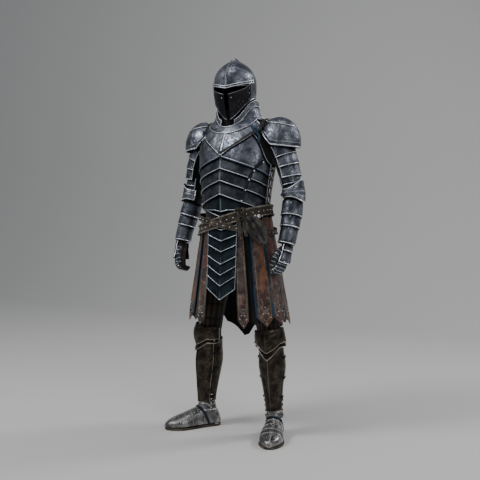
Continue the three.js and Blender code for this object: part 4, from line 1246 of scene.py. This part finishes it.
def apron():
    """Seven lames that come to a point, each over the one above it, with a keel."""
    front = band_on(skirt, 0)

    def edge(x, s):
        """From the straight upper edge to the pointed tip, in even shares."""
        return (APRON_TOP + APRON_RISE * np.abs(x) * 0.4) * (1 - s) + (APRON_TIP + APRON_RISE * np.abs(x)) * s

    put("apron_lames", [
        plate(front, (-78, 78), (lambda x: edge(x, a) + (8 if i else 0), lambda x: edge(x, b)),
              lambda x, t: 10.5 + 3.5 * t, count=(40, 8), rims="blr", lap_shadow=11 if i else 6, rim=2.2,
              relief=lambda x, t, d: 1.6 * hill(x, 0, 2.5))
        for i, (a, b) in enumerate(zip(APRON_STEPS, APRON_STEPS[1:]))
    ], BLUED, "blued_steel", "apron")


def strip(name, place, finish, at, width, tip, edged):
    """A pointed leather strip, wider below, tooled with a chevron, with studs and welts, and an edging for
    some."""
    band = band_on(skirt, at)

    def widening(p, z):
        """The strip's width: it grows evenly for 400 mm down to its full width."""
        return band(p / 200 * width * (0.62 + 0.38 * np.clip((STRIP_TOP - z) / 400, 0, 1)), z)

    def end(p):
        """The strip's end: a point with straight sides."""
        return tip + 0.38 * np.abs(p)

    def tooled(p, t, d):
        """A chevron and a line by the edge as grooves, and faint long ripples."""
        above_tip = STRIP_TOP + (end(p) - STRIP_TOP) * t - tip
        chevron = -1.1 * hill(above_tip - 26 - 0.5 * np.abs(p), 26, 2.4)
        return chevron - 0.8 * hill(d, 7, 1.3) + 0.5 * np.sin(t * 90 + p / 30)

    form = Form(1, widening)
    put(f"skirt_strip_{name}_{place}", plate(
        form, (-STRIP_HALF, STRIP_HALF), (STRIP_TOP, end), 7, LEATHER, count=(22, 60), rim=1.3, relief=tooled,
        wander=1.6,
    ), finish, "russet_leather", f"strip_{name}_{place}")
    diamonds = np.array([(-62, 44), (62, 44), (0, 14), (-32, 62), (32, 62), (0, 92)], float)
    put(f"skirt_studs_{name}_{place}", studs_on(form, diamonds[:, 0], tip + diamonds[:, 1], 7.6, 2.5), STUDS,
        "plate_steel")
    ways = [[(k * 78, z) for z in (900, 780, 680, tip + 50)] for k in (-1, 1)]
    ways += [[(p, tip + up + rise) for p, rise in ((-74, 30), (-37, 15), (0, 0), (37, 15), (74, 30))]
             for up in (26, 62, 74)]
    welts = [strap_on(form, way, 6.9, 3.2, 1.5, wear=0.7) for way in ways]
    put(f"skirt_welts_{name}_{place}", welts, CORDING, "russet_leather")
    if edged:
        ways = [[(k * 108, z) for z in (1000, 900, 800, 700, 620, tip + 42)] for k in (-1, 1)]
        put(f"skirt_edging_{name}_{place}", [strap_on(form, way, 5.8, 11, 2.0) for way in ways], TRIM,
            "dark_cloth")


def skirts():
    """A steel apron, leather strips to either side of it, and under them a dark skirt whose hem hangs in
    points to a long one behind."""
    apron()
    for name, on in SIDES.items():
        for i, (at, width, tip) in enumerate(STRIP_PLACES):
            strip(name, i + 1, STRIPS if i % 2 else STRIPS_WORN, on["side"] * at, width, tip, i in EDGED)

    def hem(a):
        """The hem: points as a sine without its sign, and an opening in front."""
        a = from_front(a)
        dags = 24 * np.abs(np.sin(rad((a - 40) * 7)))
        opening = 150 * (1 - smooth(24, 36, a))
        return 574 + dags + opening - 140 * np.maximum(0, 1 - np.abs(a - 163) / 30)

    def folds(a, t, d):
        """Two sines around that deepen towards the hem."""
        return 3.2 * t * np.sin(rad(a) * 28) + 1.0 * t * np.sin(rad(a) * 47 + 3 * t)

    cloth = put("inner_skirt", plate(
        skirt, (0, 360), (1078, hem), -1.5, CLOTH, count=(360, 60), rims="", closed=True, wander=0,
        relief=folds,
    ), DARK, "dark_cloth", "skirt_cloth")


# ---------------------------------------------------------------- legs
KNEE_AT = 470
FOOT_LAMES = (0, 96, 128, 160, 192, 224, 291)  # from the heel
LACES_AT = (756, 782, 808, 832)


def quilted(rise, wide, long):
    """Sewn channels: the sine of the way round, pulled in where a row of stitches crosses them."""

    def relief(a, t, d):
        """The root of a sine for each channel, and a bell for each row of stitches."""
        rolls = rise * (np.abs(np.sin(rad(a) * wide / 2)) ** 0.6 - 1)
        return rolls - 0.6 * rise * hill((t * long) % 1, 0.5, 0.09)

    return relief


def breeches():
    """Quilted breeches: a seat and two legs that reach into the greaves."""
    parts = [plate(barrel(SEAT), (0, 360), (1016, 844), -0.5, CLOTH, count=(120, 30), rims="", closed=True,
                   wander=0, relief=quilted(3.0, 26, 4))]
    for on in SIDES.values():
        parts.append(plate(limb(on["leg"], on["side"], on["leg_turn"]), (0, 360), (30, 690), -0.3, CLOTH,
                           count=(150, 120), rims="", closed=True, wander=0, relief=quilted(4.2, 16, 9)))
    put("quilted_breeches", parts, BROWN, "brown_cloth", "breeches")


def rounded_end(ring_points, ahead, reach):
    """A dome over a ring: rings that shrink with the cosine and move ahead with the sine of an angle."""
    centre, turn = ring_points.mean(0), rad(np.array([-6, 0, 22, 44, 64, 82, 88.0]))[:, None, None]
    grid = centre + (ring_points - centre) * np.cos(turn) + unit(ahead) * reach * np.sin(turn)
    m, n = grid.shape[:2]
    o = np.arange(m * n).reshape(m, n)
    quads = sheet_quads(np.hstack([o, o[:, :1]]))
    return outward_faces({
        "points": grid.reshape(-1, 3), "quads": quads, "uv": np.zeros((len(quads), 4, 2)),
        "wear": np.full(m * n, 0.6), "caps": [list(range(n)), list(range(m * n - 1, m * n - n - 1, -1))],
    })


def knee_and_greave(name, form):
    """A poleyn with a keel, side wings and a lame below it, and a greave whose shin and calf plates are
    strapped together."""

    def wing(a):
        """A bell at each side of the knee."""
        return hill(np.abs(a), 86, 22)

    def upper(a):
        """The knee cup's upper edge: nearly level, raised at the sides."""
        return 398 + 0.1 * np.abs(a) - 8 * wing(a)

    def lower(a):
        """The knee cup's lower edge: it rises evenly to 55 degrees."""
        return 542 - np.minimum(np.abs(a), 55)

    def part_way(share):
        """A line that share of the way between both edges."""
        return lambda a: upper(a) + (lower(a) - upper(a)) * share

    def cup(a, t):
        """Half a sine wave over the kneecap, and wings that flare downwards."""
        swell = 13 * np.sin(np.pi * np.minimum(t, 0.97)) * hill(a, 0, 60)
        return 11.5 + swell + 3 * t + 12 * wing(a) * 0.75 * t

    put(f"knee_cup_{name}", [
        plate(form, (-110, 110), (part_way(0.6), lower), count=(90, 8), rims="blr", lap_shadow=20, rim=2.8,
              lift=lambda a, t: 9 + 9 * hill(a, 0, 24) * t + 12 * wing(a) * (0.6 + 0.4 * t)),
        plate(form, (-110, 110), (upper, part_way(0.75)), cup, count=(90, 22), rims="blr", rim=2.4,
              relief=lambda a, t, d: 0.9 * hill(a, 0, 5) - 1.2 * hill(t, 0.2, 0.04)),
    ] + studs_on(form, np.array([-84.0, 84.0]), KNEE_AT, 24, 5), LEGS, "leg_steel", f"poleyn_{name}")
    put(f"greave_shin_{name}", plate(
        form, (-86, 86), (KNEE_AT, 812), lambda a, t: 5 + 5 * hill(a, 0, 12), count=(130, 40), rims="blr",
        rim=1.5, relief=lambda a, t, d: 1.5 * hill(a, 0, 2.2) - 0.9 * hill(d, 13, 1.6),
    ), LEGS, "leg_steel", f"greave_front_{name}")
    put(f"greave_calf_{name}", plate(
        form, (90, 270), (478, 806), 5, count=(90, 40), rims="tb", rim=1.6,
        relief=lambda a, t, d: 1.2 * hill(a, 180, 3) - 0.9 * hill(np.abs(a - 180), 78, 1.6),
    ), LEGS, "leg_steel", f"greave_back_{name}")
    put(f"greave_straps_{name}", [
        strap_on(form, [(b - 12, s), (b, s + 2), (b + 12, s)], 8, 13, 2.4)
        for b in (88, -88) for s in (540, 640, 740)
    ], STRAPS, "belt_leather")


def boot(name, on):
    """A shoe of lames that lap towards the toe, closed by domes at both ends, an ankle of two plates, a
    leather sole, a strap over the instep, and laces at the ankle."""
    foot = foot_form(on["side"], on["foot_turn"], on["ankle"])
    shin = limb(on["leg"], on["side"], on["foot_turn"])
    shell = [
        plate(foot, (-112, 112), (float(a) - (5 if i else 0), float(b)), lambda p, t: 0.2 + 1.1 * t,
              count=(70, 12), rims="b", rim=0.9, wander=0.2,
              relief=lambda p, t, d: 2.2 * hill(p, 0, 5) * (b > 100) + 0.5 * hill(np.abs(p), 52, 3))
        for i, (a, b) in enumerate(zip(FOOT_LAMES, FOOT_LAMES[1:]))
    ]
    low = [plate(foot, (100, 260), (2.0, 288.0), -0.4, count=(30, 60), rims="", wander=0)]
    around = np.linspace(0, 360, 49)[:-1]
    ends = [rounded_end(foot(around, s), (foot(around, s) - foot(around, s - k * 6)).mean(0), 5)
            for s, k in ((1.0, -1), (289.5, 1))]
    ankle = [
        plate(shin, (0, 360), (760, 850), 0.6, count=(80, 14), rims="", closed=True),
        plate(shin, (-150, 150), (816, 852), lambda a, t: 2.2 + 5 * t, count=(90, 8), rims="tb", rim=1.8),
    ]
    put(f"boot_plates_{name}", shell + low + ends + ankle, BOOTS, "leg_steel", f"sabaton_{name}")
    r = read(FOOT, "along", np.linspace(0, 290, 50))
    turn = rad(on["foot_turn"])
    ahead = np.array([on["side"] * np.sin(turn), -np.cos(turn), 0.0])
    outward = np.array([on["side"] * np.cos(turn), np.sin(turn), 0.0])
    path = xyz(*on["ankle"], SOLE / 2) + np.multiply.outer(r["along"] - HEEL_BACK, ahead)
    section = np.stack([slab(2 * (half + 3.0), SOLE, 1.6) for half in r["half"]])
    put(f"boot_sole_{name}", swept(path, outward, section), WELTS, "leg_steel")

    def instep(low, middle, high, top):
        """The same heights to both sides of the instep."""
        return [(-112, low), (-74, middle), (-30, high), (0, top), (30, high), (74, middle), (112, low)]

    put(f"boot_strap_{name}", [strap_on(foot, instep(62, 84, 110, 120), 2.6, 9, 2.4)], STRAPS, "belt_leather")
    edge = strap_on(foot, instep(56, 77, 103, 113), 2.6, 4, 3.0)
    put(f"boot_strap_edge_{name}", [edge], TRIM, "dark_cloth")
    put(f"ankle_laces_{name}", [
        strap_on(shin, [(k * 72, s), (k * 100, s + 9), (k * 128, s)], 7.5, 7, 2.2)
        for k in (1, -1) for s in LACES_AT
    ], BELTS, "belt_leather")
    put(f"ankle_buckles_{name}", studs_on(
        shin, np.repeat([98.0, -98.0], 4), np.tile(np.add(LACES_AT, 8.0), 2), 9.5, 3.6), STUDS, "plate_steel")
    put(f"heel_bands_{name}", [
        strap_on(foot, [(k * 150, 10), (k * 128, 16), (k * 108, 40)], 3.0, 9, 3.2, wear=0.8) for k in (1, -1)
    ], BOOTS, "leg_steel")


def legs():
    """Each leg's knee and greave, and its boot."""
    for name, on in SIDES.items():
        knee_and_greave(name, limb(on["leg"], on["side"], on["leg_turn"]))
        boot(name, on)


helmet()
neck()
breast()
belts()
doublet()
arms()
hands()
skirts()
breeches()
legs()


# ---------------------------------------------------------------- floor, light and camera
def matt(name, code):
    """Paper or paint with no shine."""
    m, _, shader = material(name)
    shader.inputs["Base Color"].default_value = colour(code)
    shader.inputs["Roughness"].default_value = 0.9
    return m


def floor():
    """A level studio floor that curves up into a backdrop: a quarter circle between two flats."""
    across = np.linspace(-9, 9, 3)
    bend, near, radius = np.linspace(0, np.pi / 2, 24), 3.2, 2.0
    y = np.concatenate([[-8, near], near + radius * np.sin(bend), [near + radius]])
    z = np.concatenate([[0, 0], radius * (1 - np.cos(bend)), [9]]) - WORN_AT * MM
    points = np.stack([np.tile(across, len(y)), np.repeat(y, 3), np.repeat(z, 3)], -1)
    n = np.arange(len(points)).reshape(len(y), 3)
    mesh = bpy.data.meshes.new("studio_floor")
    mesh.from_pydata(points.tolist(), [], sheet_quads(n).tolist())
    mesh.shade_smooth()
    mesh.materials.append(matt("pale_studio_paper", "dededc"))
    obj = bpy.data.objects.new("studio_floor", mesh)
    bpy.context.collection.objects.link(obj)


def lamp(name, place, aim, size, watts):
    """A round soft box, in metres and watts, turned towards aim."""
    light = bpy.data.lights.new(name, "AREA")
    light.shape, light.size, light.energy = "DISK", size, watts
    obj = bpy.data.objects.new(name, light)
    bpy.context.collection.objects.link(obj)
    obj.location = place
    obj.rotation_euler = (Vector(aim) - Vector(place)).to_track_quat("-Z", "Y").to_euler()


floor()
lamp("key", (-1.9, -2.6, 2.9), (0, 0, 0.1), 1.4, 92)
lamp("fill", (3.6, -2.0, 1.0), (0, 0, -0.5), 2.0, 26)
lamp("edge", (2.6, 2.4, 2.2), (0, 0, 0.2), 1.0, 60)
lamp("top", (0.2, -0.4, 3.4), (0, 0, 0), 1.8, 26)
world = bpy.data.worlds.new("soft_room")
world.use_nodes = True
background = world.node_tree.nodes["Background"]
background.inputs["Color"].default_value = colour("c4c6ca")
background.inputs["Strength"].default_value = 0.42
bpy.context.scene.world = world

# metres, degrees and millimetres
CAMERA = {"at": (1.770, -3.106, -0.357), "turn": 29.67, "down": 2.45, "lens": 53.2}
camera = bpy.data.objects.new("camera", bpy.data.cameras.new("camera"))
camera.location = CAMERA["at"]
camera.rotation_euler = (rad(90 - CAMERA["down"]), 0, rad(CAMERA["turn"]))
camera.data.lens, camera.data.sensor_width = CAMERA["lens"], 36
bpy.context.collection.objects.link(camera)
bpy.context.scene.camera = camera
